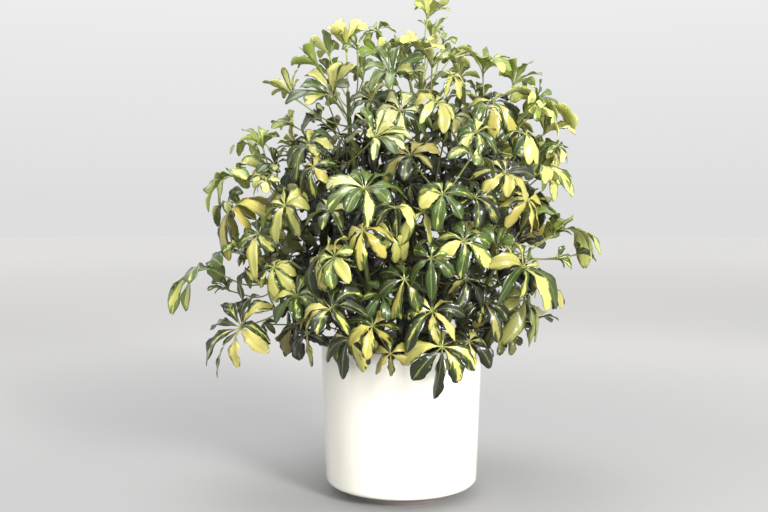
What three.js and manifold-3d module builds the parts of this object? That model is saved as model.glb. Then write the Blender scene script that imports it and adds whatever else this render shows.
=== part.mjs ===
// Potted umbrella plant: a bushy variegated dwarf umbrella tree in a plain white pot.
// Millimetres, +Z up, origin at the centre of the pot's foot on the ground, the viewer's side is -Y.
import * as THREE from 'three';
import { mergeVertices } from 'three/addons/utils/BufferGeometryUtils.js';
import Module from 'manifold-3d';

const wasm = await Module();
wasm.setup();

// Pot: a slightly tapered cylinder on a recessed foot
const RIM_RADIUS = 152.4;
const RIM_HEIGHT = 283;
const POT_BOTTOM_RADIUS = 143.5;
const FOOT_RADIUS = 104;
const FOOT_HEIGHT = 18;
const BOTTOM_EDGE_ROUND = 10;
const RIM_ROUND = 2;
const WALL = 7;
const POT_FLOOR = 9;
const ROUND_SIDES = 36;

// Soil
const SOIL_HEIGHT = 258;
const SOIL_EDGE_BEVEL = 2;
const SOIL_LUMP = 2.5;
const FIT_GAP = 0.3;
const ROOTING_DEPTH = 60;
const STRAIGHT_ABOVE_SOIL = 12;

// Leaves
const BLADE_HALF_THICKNESS = 0.5;
const PETIOLE_RADIUS = 1.7;
const LEAFLET_HALF_WIDTH = 0.22;
const WIDEST_AT = 0.6;
const HUB_SHARE = 0.085;
const SAG = 0.12;
const CROWDING = 0.82;
const ANGLE_JITTER = 0.1;
const LONGER_OUTWARD = 0.1;
const LENGTH_JITTER = 0.12;
const ROLL_JITTER = 0.35;
const SPIN_JITTER = 0.7;
const PETIOLE_BOW = 0.18;
const PETIOLE_PULL = 0.28;
const HABITS = {
  upright: [50, 24],
  cup: [36, 12],
  flat: [10, -20],
  droop: [-14, -48],
};

// Room kept round each blade, petiole and stem while the leaves are placed
const CLEARANCE = 1.7;
const HUB_CLEAR_LENGTH = 12;
const ROOM_MARGIN = 1.1;
const FURTHEST_PETIOLE = 320;
const FULL_TURN_AT = 1 / 3;
const TRIES = 56;
const TURN_ROOM = 60;
const LEAN_ROOM = 38;
const SHIFT_ROOM = 22;
const SHRINK_ROOM = 0.16;
const POT_ROOM_RADIUS = RIM_RADIUS + 8;
const POT_ROOM_HEIGHT = RIM_HEIGHT + 8;
const LOWEST_LEAF_ROOT = 300;
const NODE_SPACING = 9;
const SHORTEST_PETIOLE = 45;
const SHORT_PETIOLE_COST = 4;
const TURNED_PETIOLE_COST = 90;

// Side shoots are thinner than the stem they leave
const SHOOT_SHARE = 0.8;
const SHOOT_MOST_OVER_TIP = 1;
const SHOOT_TIP_SHARE = 0.85;

// Separate runs of random draws
const SHAPE_SEED = 5000;
const RULE_SEED = 9000;

// Half the crown's width by height, and how much shallower it is from front to back
const CROWN = [[270, 190], [350, 330], [450, 385], [550, 375], [650, 320], [750, 240], [850, 120], [930, 20]];
const CROWN_DEPTH = 0.9;

// Each leafy stem: the way it grows from the soil, its side shoots, the leaves seen from the front and how
// many more grow by the rule. A leaf is x, y, z of its hub, its reach, the direction and angle in which its
// face leans, its number of leaflets and its habit.
const STEMS = [
  {
    name: 'stem_tall',
    radius: [8, 3.6],
    path: [[10, 15, SOIL_HEIGHT], [14, 18, 420], [24, 22, 560], [32, 24, 690], [38, 22, 800]],
    shoots: [
      { at: 2, path: [[-4, -30, 636], [-16, -72, 690]] },
      { at: 3, path: [[66, -16, 735]] },
    ],
    leaves: [
      [48, 10, 890, 58, -60, 25, 6, 'cup'],
      [30, -22, 818, 58, -60, 32, 7, 'cup'],
      [-44, 40, 872, 46, 150, 25, 6, 'flat'],
      [-18, -92, 768, 72, -90, 48, 8, 'cup'],
      [92, -40, 778, 60, -45, 40, 7, 'droop'],
      [-5, -140, 704, 74, -80, 52, 7, 'flat'],
      [48, -120, 712, 60, -70, 45, 7, 'flat'],
      [-54, -96, 728, 56, -110, 48, 7, 'flat'],
      [96, -92, 704, 58, -60, 45, 7, 'flat'],
    ],
    more: 3,
  },
  {
    name: 'stem_upper_left',
    radius: [7.5, 3.4],
    path: [[-35, 12, SOIL_HEIGHT], [-52, 4, 400], [-78, -8, 540], [-96, -16, 670], [-100, -18, 752]],
    shoots: [
      { at: 2, path: [[-114, -54, 596], [-134, -86, 634]] },
    ],
    leaves: [
      [-102, -22, 822, 68, -90, 16, 7, 'upright'],
      [-123, -85, 733, 84, -125, 46, 8, 'cup'],
      [-68, -112, 684, 54, -70, 45, 7, 'flat'],
      [-162, -130, 648, 60, -130, 45, 7, 'flat'],
      [-146, -56, 694, 44, -150, 40, 6, 'cup'],
      [-156, -170, 610, 52, -120, 55, 6, 'droop'],
      [-190, -72, 606, 56, -160, 40, 7, 'flat'],
      [-46, -180, 661, 76, -90, 56, 9, 'cup'],
    ],
    more: 2,
  },
  {
    name: 'stem_left',
    radius: [7, 3.2],
    path: [[-68, 25, SOIL_HEIGHT], [-110, 15, 370], [-165, 5, 470], [-215, -5, 545], [-246, -12, 590]],
    shoots: [
      { at: 2, path: [[-204, -50, 498], [-232, -72, 506]] },
    ],
    leaves: [
      [-310, -20, 596, 86, 175, 28, 7, 'flat'],
      [-292, 34, 658, 48, 140, 12, 5, 'flat'],
      [-254, -20, 648, 58, -90, 25, 6, 'cup'],
      [-306, -60, 536, 88, -165, 40, 9, 'droop'],
      [-222, -54, 604, 48, -60, 30, 6, 'cup'],
      [-203, -160, 541, 62, -120, 50, 7, 'flat'],
      [-251, -130, 491, 56, -130, 45, 7, 'flat'],
    ],
    more: 2,
  },
  {
    name: 'stem_low_left',
    radius: [6.5, 3.2],
    path: [[-75, -30, SOIL_HEIGHT], [-112, -52, 322], [-162, -78, 358], [-208, -92, 384], [-245, -88, 404]],
    shoots: [],
    leaves: [
      [-222, -165, 435, 58, -130, 48, 7, 'droop'],
      [-352, -50, 424, 112, 180, 20, 7, 'flat'],
      [-280, -98, 425, 52, -150, 48, 6, 'droop'],
      [-282, -135, 327, 100, -125, 50, 9, 'flat'],
      [-195, -112, 326, 64, -110, 55, 7, 'droop'],
      [-165, -172, 322, 50, -110, 55, 6, 'droop'],
      [-184, -190, 388, 60, -110, 50, 7, 'flat'],
    ],
    more: 1,
  },
  {
    name: 'stem_front',
    radius: [6.5, 3.2],
    path: [[-28, -70, SOIL_HEIGHT], [-44, -112, 336], [-62, -152, 412], [-68, -176, 490]],
    shoots: [
      { at: 1, path: [[-80, -168, 352]] },
    ],
    leaves: [
      [-64, -250, 569, 82, -90, 48, 9, 'flat'],
      [-67, -256, 502, 56, -120, 50, 7, 'droop'],
      [-104, -248, 460, 62, -110, 52, 7, 'flat'],
      [-138, -215, 458, 68, -150, 45, 7, 'droop'],
      [-118, -272, 384, 80, -115, 50, 8, 'flat'],
      [-92, -236, 322, 58, -100, 55, 7, 'droop'],
      [-52, -240, 343, 58, -85, 52, 7, 'flat'],
      [-28, -234, 300, 50, -85, 60, 6, 'droop'],
      [0, -262, 423, 64, -85, 58, 7, 'droop'],
      [-36, -236, 398, 52, -90, 55, 7, 'flat'],
      [-24, -226, 490, 52, -75, 52, 7, 'droop'],
    ],
    more: 1,
  },
  {
    name: 'stem_front_right',
    radius: [6.5, 3.2],
    path: [[28, -68, SOIL_HEIGHT], [44, -102, 335], [62, -140, 420], [68, -158, 500], [56, -150, 575]],
    shoots: [],
    leaves: [
      [64, -226, 560, 60, -90, 52, 7, 'flat'],
      [118, -200, 556, 60, -65, 48, 7, 'flat'],
      [12, -170, 626, 68, -95, 48, 7, 'flat'],
      [97, -244, 484, 60, -75, 52, 7, 'flat'],
      [43, -258, 454, 54, -90, 55, 6, 'flat'],
      [54, -250, 369, 72, -85, 52, 8, 'flat'],
      [62, -258, 312, 82, -85, 56, 8, 'droop'],
      [-9, -222, 532, 54, -100, 50, 7, 'flat'],
      [68, -140, 653, 56, -80, 40, 7, 'flat'],
      [105, -196, 415, 58, -60, 50, 7, 'flat'],
    ],
    more: 1,
  },
  {
    name: 'stem_right',
    radius: [7.5, 3.4],
    path: [[62, 18, SOIL_HEIGHT], [84, 14, 390], [116, 6, 520], [146, 0, 630], [164, -2, 702]],
    shoots: [
      { at: 3, path: [[186, 4, 672], [212, 8, 694]] },
      { at: 2, path: [[152, -52, 556], [178, -84, 574]] },
    ],
    leaves: [
      [152, 0, 786, 76, -60, 25, 7, 'cup'],
      [212, 30, 768, 64, 20, 30, 7, 'cup'],
      [254, 20, 732, 92, -5, 28, 7, 'flat'],
      [166, -50, 730, 70, -90, 48, 7, 'droop'],
      [216, -92, 676, 66, -60, 42, 7, 'droop'],
      [123, -140, 655, 58, -90, 45, 7, 'flat'],
      [173, -165, 595, 72, -75, 42, 8, 'flat'],
      [240, -100, 605, 80, -40, 40, 8, 'flat'],
      [215, -150, 552, 62, -60, 55, 7, 'droop'],
    ],
    more: 2,
  },
  {
    name: 'stem_low_right',
    radius: [6.5, 3.2],
    path: [[76, -28, SOIL_HEIGHT], [112, -50, 326], [146, -74, 384], [170, -84, 436]],
    shoots: [
      { at: 2, path: [[188, -96, 406]] },
      { at: 3, path: [[208, -66, 470]] },
    ],
    leaves: [
      [296, -50, 498, 116, -8, 24, 7, 'flat'],
      [206, -160, 434, 84, -50, 46, 9, 'flat'],
      [218, -110, 372, 76, -40, 45, 7, 'droop'],
      [166, -132, 340, 64, -70, 52, 7, 'droop'],
      [119, -186, 314, 66, -55, 55, 7, 'droop'],
      [142, -178, 376, 60, -70, 50, 7, 'flat'],
      [160, -145, 501, 54, -80, 50, 7, 'droop'],
    ],
    more: 2,
  },
  {
    name: 'stem_back_left',
    radius: [7, 3.2],
    path: [[-45, 62, SOIL_HEIGHT], [-78, 104, 370], [-108, 146, 480], [-118, 160, 590], [-104, 150, 690]],
    shoots: [
      { at: 2, path: [[-172, 150, 520], [-222, 146, 552]] },
      { at: 1, path: [[-134, 136, 385], [-190, 152, 402]] },
    ],
    leaves: [],
    more: 9,
  },
  {
    name: 'stem_back_right',
    radius: [7, 3.2],
    path: [[45, 66, SOIL_HEIGHT], [76, 106, 370], [104, 146, 490], [110, 156, 610], [96, 142, 715]],
    shoots: [
      { at: 2, path: [[168, 150, 530], [216, 146, 560]] },
      { at: 1, path: [[136, 136, 388], [190, 150, 408]] },
    ],
    leaves: [],
    more: 9,
  },
  {
    name: 'stem_back',
    radius: [6.5, 3.2],
    path: [[0, 84, SOIL_HEIGHT], [-4, 138, 350], [-8, 190, 430], [-4, 218, 520], [0, 212, 600]],
    shoots: [
      { at: 1, path: [[40, 190, 392], [62, 236, 414]] },
    ],
    leaves: [],
    more: 8,
  },
];

// Rule for the leaves that no view from the front settles
const RULE = {
  tries: 300,
  spread: 230,
  rise: [5, 65],
  petiole: [62, 120],
  reach: [62, 84],
  lean: [22, 55],
  leaflets: [6, 6],
  apart: 0.46,
  insideCrown: 0.7,
};
const RULE_HABITS = ['flat', 'flat', 'droop', 'cup'];

const RAD = Math.PI / 180;

function vec(point) {
  return new THREE.Vector3(point[0], point[1], point[2]);
}

// Linear congruential draws from 0 to 1, the same on every run
const SEED_SPREAD = 2654435761;
const DRAW_FACTOR = 1664525;
const DRAW_STEP = 1013904223;
const DRAW_RANGE = 2 ** 32;

function randomSource(seed) {
  let state = Math.imul(seed + 1, SEED_SPREAD) >>> 0;
  return () => {
    state = (Math.imul(state, DRAW_FACTOR) + DRAW_STEP) >>> 0;
    return state / DRAW_RANGE;
  };
}

function between(range, share) {
  return range[0] + (range[1] - range[0]) * share;
}

function leanDirection(turn, lean) {
  return new THREE.Vector3(
    Math.sin(lean * RAD) * Math.cos(turn * RAD),
    Math.sin(lean * RAD) * Math.sin(turn * RAD),
    Math.cos(lean * RAD),
  );
}

// Conversion between three.js geometry and solids that can be joined and cut
function toSolid(geometry) {
  geometry.deleteAttribute('normal');
  geometry.deleteAttribute('uv');
  const merged = mergeVertices(geometry, 1e-4);
  return new wasm.Manifold(new wasm.Mesh({
    numProp: 3,
    vertProperties: new Float32Array(merged.attributes.position.array),
    triVerts: new Uint32Array(merged.index.array),
  }));
}

function toGeometry(solid) {
  const mesh = solid.getMesh();
  const geometry = new THREE.BufferGeometry();
  geometry.setAttribute('position', new THREE.BufferAttribute(new Float32Array(mesh.vertProperties), 3));
  geometry.setIndex(new THREE.BufferAttribute(new Uint32Array(mesh.triVerts), 1));
  geometry.computeVertexNormals();
  return geometry;
}

function polyhedron(points, faces) {
  const geometry = new THREE.BufferGeometry();
  const coordinates = points.flatMap((point) => [point.x, point.y, point.z]);
  geometry.setAttribute('position', new THREE.Float32BufferAttribute(coordinates, 3));
  geometry.setIndex(faces.flat());
  return geometry;
}

// Ring directions carried along a path, each square to it
function carriedRings(points, sides) {
  const first = points[1].clone().sub(points[0]).normalize();
  let reference = new THREE.Vector3(1, 0, 0);
  reference.addScaledVector(first, -reference.dot(first)).normalize();
  return points.map((point, i) => {
    const before = points[Math.max(i - 1, 0)];
    const after = points[Math.min(i + 1, points.length - 1)];
    const incoming = i > 0 ? point.clone().sub(before).normalize() : new THREE.Vector3();
    const outgoing = i < points.length - 1 ? after.clone().sub(point).normalize() : new THREE.Vector3();
    const along = incoming.add(outgoing).normalize();
    reference = reference.clone().addScaledVector(along, -reference.dot(along)).normalize();
    const across = new THREE.Vector3().crossVectors(along, reference);
    return Array.from({ length: sides }, (_, k) => {
      const angle = (2 * Math.PI * k) / sides;
      return reference.clone().multiplyScalar(Math.cos(angle)).addScaledVector(across, Math.sin(angle));
    });
  });
}

function taperedTube(points, radii, sides) {
  const rings = carriedRings(points, sides);
  const onRing = (way, i) => points[i].clone().addScaledVector(way, radii[i]);
  const vertices = rings.flatMap((ring, i) => ring.map((way) => onRing(way, i)));
  const faces = [];
  const last = (points.length - 1) * sides;
  for (let i = 0; i < points.length - 1; i += 1) {
    for (let k = 0; k < sides; k += 1) {
      const a = i * sides + k;
      const b = i * sides + ((k + 1) % sides);
      faces.push([a, b, b + sides], [a, b + sides, a + sides]);
    }
  }
  for (let k = 1; k < sides - 1; k += 1) {
    faces.push([0, k + 1, k], [last, last + k, last + k + 1]);
  }
  return polyhedron(vertices, faces);
}

// Stems: every path as points with a radius that shrinks along it
function stemPaths(stem) {
  const main = stem.path.map(vec);
  const grows = main[1].clone().sub(main[0]).normalize();
  const start = main[0].clone().addScaledVector(grows, -ROOTING_DEPTH);
  const collar = main[0].clone().addScaledVector(grows, STRAIGHT_ABOVE_SOIL);
  const points = [start, collar, ...main.slice(1)];
  const radii = points.map((_, i) => between(stem.radius, Math.max(i - 1, 0) / (points.length - 2)));
  const paths = [{ points, radii, sides: 5, grows }];
  for (const shoot of stem.shoots) {
    const base = main[shoot.at];
    const shootPoints = [base.clone(), ...shoot.path.map(vec)];
    const thick = Math.min(radii[shoot.at + 1] * SHOOT_SHARE, stem.radius[1] + SHOOT_MOST_OVER_TIP);
    const thin = stem.radius[1] * SHOOT_TIP_SHARE;
    const shootRadii = shootPoints.map((_, i) => between([thick, thin], i / (shootPoints.length - 1)));
    paths.push({ points: shootPoints, radii: shootRadii, sides: 4, grows });
  }
  return paths;
}

// Places along a stem where a petiole can spring, a set spacing apart
function leafRoots(paths) {
  const roots = [];
  for (const { points, radii } of paths) {
    for (let i = 0; i < points.length - 1; i += 1) {
      const length = points[i].distanceTo(points[i + 1]);
      const steps = Math.floor(length / NODE_SPACING);
      for (let k = 1; k <= steps; k += 1) {
        const share = k / (steps + 0.5);
        const place = points[i].clone().lerp(points[i + 1], share);
        if (place.z > LOWEST_LEAF_ROOT) {
          roots.push({ place, radius: between([radii[i], radii[i + 1]], share), used: false });
        }
      }
    }
  }
  return roots;
}

// One palmate leaf: its hub, face direction, and for each leaflet the widest line and the tip
function leafShape(spec, root, hub, face, spin) {
  const reachOut = hub.clone().sub(root).normalize();
  const normal = face.clone().addScaledVector(reachOut, PETIOLE_PULL).normalize();
  const outward = leanDirection(spec.turn, 90);
  const u = outward.addScaledVector(normal, -outward.dot(normal)).normalize();
  const v = new THREE.Vector3().crossVectors(normal, u);
  const [firstRise, secondRise] = HABITS[spec.habit].map((angle) => angle * RAD);
  const step = (2 * Math.PI) / spec.leaflets;
  const random = randomSource(spec.seed + SHAPE_SEED);
  const widest = Math.min(
    LEAFLET_HALF_WIDTH,
    WIDEST_AT * Math.cos(firstRise) * Math.tan(step / 2) * CROWDING,
  );
  const leaflets = [];
  const notches = [];
  for (let i = 0; i < spec.leaflets; i += 1) {
    const angle = spin + step * (i + (random() - 0.5) * ANGLE_JITTER);
    const away = u.clone().multiplyScalar(Math.cos(angle)).addScaledVector(v, Math.sin(angle));
    const outwardShare = 1 - LONGER_OUTWARD * (1 - away.dot(reachOut));
    const length = spec.reach * outwardShare * (1 + LENGTH_JITTER * (random() - 0.5));
    const roll = (random() - 0.5) * ROLL_JITTER;
    const across = new THREE.Vector3().crossVectors(normal, away);
    const tilted = across.multiplyScalar(Math.cos(roll)).addScaledVector(normal, Math.sin(roll));
    const wide = hub.clone()
      .addScaledVector(away, length * WIDEST_AT * Math.cos(firstRise))
      .addScaledVector(normal, length * WIDEST_AT * Math.sin(firstRise));
    const tip = wide.clone()
      .addScaledVector(away, length * (1 - WIDEST_AT) * Math.cos(secondRise))
      .addScaledVector(normal, length * (1 - WIDEST_AT) * Math.sin(secondRise));
    wide.z -= SAG * length * WIDEST_AT * WIDEST_AT;
    tip.z -= SAG * length;
    leaflets.push({
      away,
      length,
      wide,
      tip,
      left: wide.clone().addScaledVector(tilted, -widest * length),
      right: wide.clone().addScaledVector(tilted, widest * length),
    });
    const middle = spin + step * (i - 0.5);
    notches.push(hub.clone()
      .addScaledVector(u, Math.cos(middle) * spec.reach * HUB_SHARE)
      .addScaledVector(v, Math.sin(middle) * spec.reach * HUB_SHARE)
      .addScaledVector(normal, Math.sin(firstRise) * spec.reach * HUB_SHARE * 0.5));
  }
  const bend = hub.clone().lerp(root, 0.5).addScaledVector(normal, -PETIOLE_BOW * hub.distanceTo(root));
  return { ...spec, hub, normal, u, v, spin, root, bend, leaflets, notches };
}

// Room test: does any stretch of a line come within a margin of a triangle
function nearTriangle(from, to, triangle, margin) {
  const way = to.clone().sub(from);
  let enter = 0;
  let leave = 1;
  for (const [direction, offset] of triangle.planes) {
    const start = direction.dot(from) - offset - margin;
    const change = direction.dot(way);
    if (Math.abs(change) < 1e-12) {
      if (start > 0) {
        return false;
      }
    } else if (change > 0) {
      leave = Math.min(leave, -start / change);
    } else {
      enter = Math.max(enter, -start / change);
    }
    if (enter > leave) {
      return false;
    }
  }
  return true;
}

// A triangle as the planes that bound it: both faces, then its three sides
function boundedTriangle(a, b, c) {
  const normal = b.clone().sub(a).cross(c.clone().sub(a)).normalize();
  const planes = [[normal, normal.dot(a)], [normal.clone().negate(), -normal.dot(a)]];
  for (const [from, to] of [[a, b], [b, c], [c, a]]) {
    const outward = to.clone().sub(from).cross(normal).normalize();
    planes.push([outward, outward.dot(from)]);
  }
  return { planes };
}

function lineDistance(a, b, c, d) {
  const p = b.clone().sub(a);
  const q = d.clone().sub(c);
  const w = a.clone().sub(c);
  const pp = p.dot(p);
  const qq = q.dot(q);
  const pq = p.dot(q);
  const pw = p.dot(w);
  const qw = q.dot(w);
  const crossing = pp * qq - pq * pq;
  let s = crossing > 1e-9 * pp * qq ? THREE.MathUtils.clamp((pq * qw - qq * pw) / crossing, 0, 1) : 0;
  const t = THREE.MathUtils.clamp((pq * s + qw) / qq, 0, 1);
  s = THREE.MathUtils.clamp((pq * t - pw) / pp, 0, 1);
  return w.addScaledVector(p, s).addScaledVector(q, -t).length();
}

// What a leaf fills: four triangles and their edges for each leaflet, and its petiole as round bars
function leafRoom(leaf) {
  const triangles = [];
  const edges = [];
  leaf.leaflets.forEach(({ left, right, tip }, i) => {
    const notch = leaf.notches[i];
    const next = leaf.notches[(i + 1) % leaf.notches.length];
    triangles.push(boundedTriangle(leaf.hub, notch, next), boundedTriangle(notch, left, right));
    triangles.push(boundedTriangle(notch, right, next), boundedTriangle(left, tip, right));
    edges.push([leaf.hub, notch], [notch, next], [notch, left], [notch, right], [left, right]);
    edges.push([left, tip], [tip, right], [right, next]);
  });
  const hubShare = Math.min(HUB_CLEAR_LENGTH / leaf.hub.distanceTo(leaf.bend), 1);
  const clearOfHub = leaf.hub.clone().lerp(leaf.bend, hubShare);
  const bars = [
    { from: clearOfHub, to: leaf.bend, radius: PETIOLE_RADIUS },
    { from: leaf.bend, to: leaf.root, radius: PETIOLE_RADIUS },
  ];
  return { stem: leaf.stem, centre: leaf.hub, size: leaf.reach * ROOM_MARGIN, triangles, edges, bars };
}

function hitsPot(room) {
  const points = room.edges.flatMap(([from, to]) => [from, to, from.clone().lerp(to, 0.5)]);
  points.push(room.bars[0].from, room.bars[0].to);
  return points.some((point) => point.z < POT_ROOM_HEIGHT && Math.hypot(point.x, point.y) < POT_ROOM_RADIUS);
}

function bladesMeet(one, other) {
  if (one.centre.distanceTo(other.centre) > one.size + other.size) {
    return false;
  }
  return one.edges.some(([from, to]) => other.triangles.some((t) => nearTriangle(from, to, t, CLEARANCE)))
    || other.edges.some(([from, to]) => one.triangles.some((t) => nearTriangle(from, to, t, CLEARANCE)));
}

function barsMeetBlades(bars, triangles) {
  return bars.some((bar) => triangles.some((t) => nearTriangle(bar.from, bar.to, t, CLEARANCE + bar.radius)));
}

function barsMeet(bars, others) {
  return bars.some((bar) => others.some((other) => (
    lineDistance(bar.from, bar.to, other.from, other.to) < bar.radius + other.radius + CLEARANCE
  )));
}

function hasRoom(room, placed, stemBars) {
  if (hitsPot(room) || barsMeetBlades(room.bars, room.triangles)) {
    return false;
  }
  for (const other of placed) {
    if (bladesMeet(room, other)) {
      return false;
    }
    if (room.centre.distanceTo(other.centre) < FURTHEST_PETIOLE) {
      if (barsMeetBlades(room.bars, other.triangles) || barsMeetBlades(other.bars, room.triangles)) {
        return false;
      }
      if (room.stem !== other.stem && barsMeet(room.bars, other.bars)) {
        return false;
      }
    }
  }
  return !stemBars.some(({ stem, bars }) => (
    barsMeetBlades(bars, room.triangles) || (stem !== room.stem && barsMeet(room.bars, bars))
  ));
}

// Turns, leans, shifts and shrinks a leaf by growing amounts until it has room; nothing if it never has
function settle(spec, root, hub, face, placed, stemBars) {
  const random = randomSource(spec.seed);
  const spin = ((random() - 0.5) * SPIN_JITTER * 2 * Math.PI) / spec.leaflets;
  for (let k = 0; k < TRIES; k += 1) {
    const amount = k / TRIES;
    const turned = spin + (random() - 0.5) * TURN_ROOM * RAD * Math.min(amount / FULL_TURN_AT, 1);
    const shift = new THREE.Vector3(random() - 0.5, random() - 0.5, random() - 0.5);
    const lean = new THREE.Vector3(random() - 0.5, random() - 0.5, random() - 0.5);
    const movedHub = hub.clone().addScaledVector(shift, 2 * SHIFT_ROOM * amount);
    const movedFace = face.clone().addScaledVector(lean, 2 * Math.tan(LEAN_ROOM * RAD) * amount).normalize();
    const size = spec.reach * (1 - SHRINK_ROOM * amount);
    const leaf = leafShape({ ...spec, reach: size }, root, movedHub, movedFace, turned);
    const room = leafRoom(leaf);
    if (hasRoom(room, placed, stemBars)) {
      return { leaf, room };
    }
  }
  return null;
}

// The free place on the stem from which the petiole is short and comes from behind the leaf
function bestRoot(roots, hub, face) {
  let best = null;
  let lowest = Infinity;
  for (const root of roots) {
    const way = hub.clone().sub(root.place);
    const length = way.length();
    const turned = TURNED_PETIOLE_COST * (1 - way.dot(face) / length);
    const cost = length + turned + SHORT_PETIOLE_COST * Math.max(0, SHORTEST_PETIOLE - length);
    if (!root.used && cost < lowest) {
      best = root;
      lowest = cost;
    }
  }
  return best;
}

function crownRadius(height) {
  for (let i = 0; i < CROWN.length - 1; i += 1) {
    const [low, lowRadius] = CROWN[i];
    const [high, highRadius] = CROWN[i + 1];
    if (height >= low && height <= high) {
      return between([lowRadius, highRadius], (height - low) / (high - low));
    }
  }
  return 0;
}

function growLeaves() {
  const stems = STEMS.map((stem) => ({ ...stem, paths: stemPaths(stem) }));
  const stemBars = stems.map(({ name, paths }) => ({
    stem: name,
    bars: paths.flatMap(({ points, radii }) => points.slice(1).map((to, i) => (
      { from: points[i], to, radius: radii[i] }
    ))),
  }));
  const placed = [];
  let seed = 0;
  for (const stem of stems) {
    stem.roots = leafRoots(stem.paths);
    stem.grown = [];
    for (const [x, y, z, reach, turn, lean, leaflets, habit] of stem.leaves) {
      seed += 1;
      const hub = new THREE.Vector3(x, y, z);
      const face = leanDirection(turn, lean);
      const root = bestRoot(stem.roots, hub, face);
      const spec = { stem: stem.name, seed, reach, turn, leaflets, habit };
      const found = settle(spec, root.place, hub, face, placed, stemBars);
      if (found) {
        root.used = true;
        placed.push(found.room);
        stem.grown.push(found.leaf);
      } else {
        console.warn('no room', stem.name, x, y, z);
      }
    }
  }
  for (const stem of [...stems].reverse()) {
    let left = stem.more;
    for (let attempt = 0; attempt < RULE.tries && left > 0; attempt += 1) {
      seed += 1;
      const random = randomSource(seed + RULE_SEED);
      const root = stem.roots[Math.floor(random() * stem.roots.length)];
      const outward = Math.atan2(root.place.y, root.place.x) / RAD;
      const turn = outward + (random() - 0.5) * RULE.spread;
      const rise = between(RULE.rise, random());
      const petiole = between(RULE.petiole, random());
      const hub = root.place.clone().addScaledVector(leanDirection(turn, 90 - rise), petiole);
      const face = leanDirection(turn, between(RULE.lean, random()));
      const reach = between(RULE.reach, random());
      const leaflets = Math.round(between(RULE.leaflets, random()));
      const habit = RULE_HABITS[Math.floor(random() * RULE_HABITS.length)];
      const width = Math.hypot(hub.x, hub.y / CROWN_DEPTH) + reach * RULE.insideCrown;
      const close = placed.some((other) => other.centre.distanceTo(hub) < RULE.apart * (reach + other.size));
      if (!root.used && width < crownRadius(hub.z) && !close) {
        const spec = { stem: stem.name, seed, reach, turn, leaflets, habit };
        const found = settle(spec, root.place, hub, face, placed, stemBars);
        if (found) {
          root.used = true;
          left -= 1;
          placed.push(found.room);
          stem.grown.push(found.leaf);
        }
      }
    }
    if (left > 0) {
      console.warn('short of leaves', stem.name, left);
    }
  }
  return stems;
}

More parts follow.
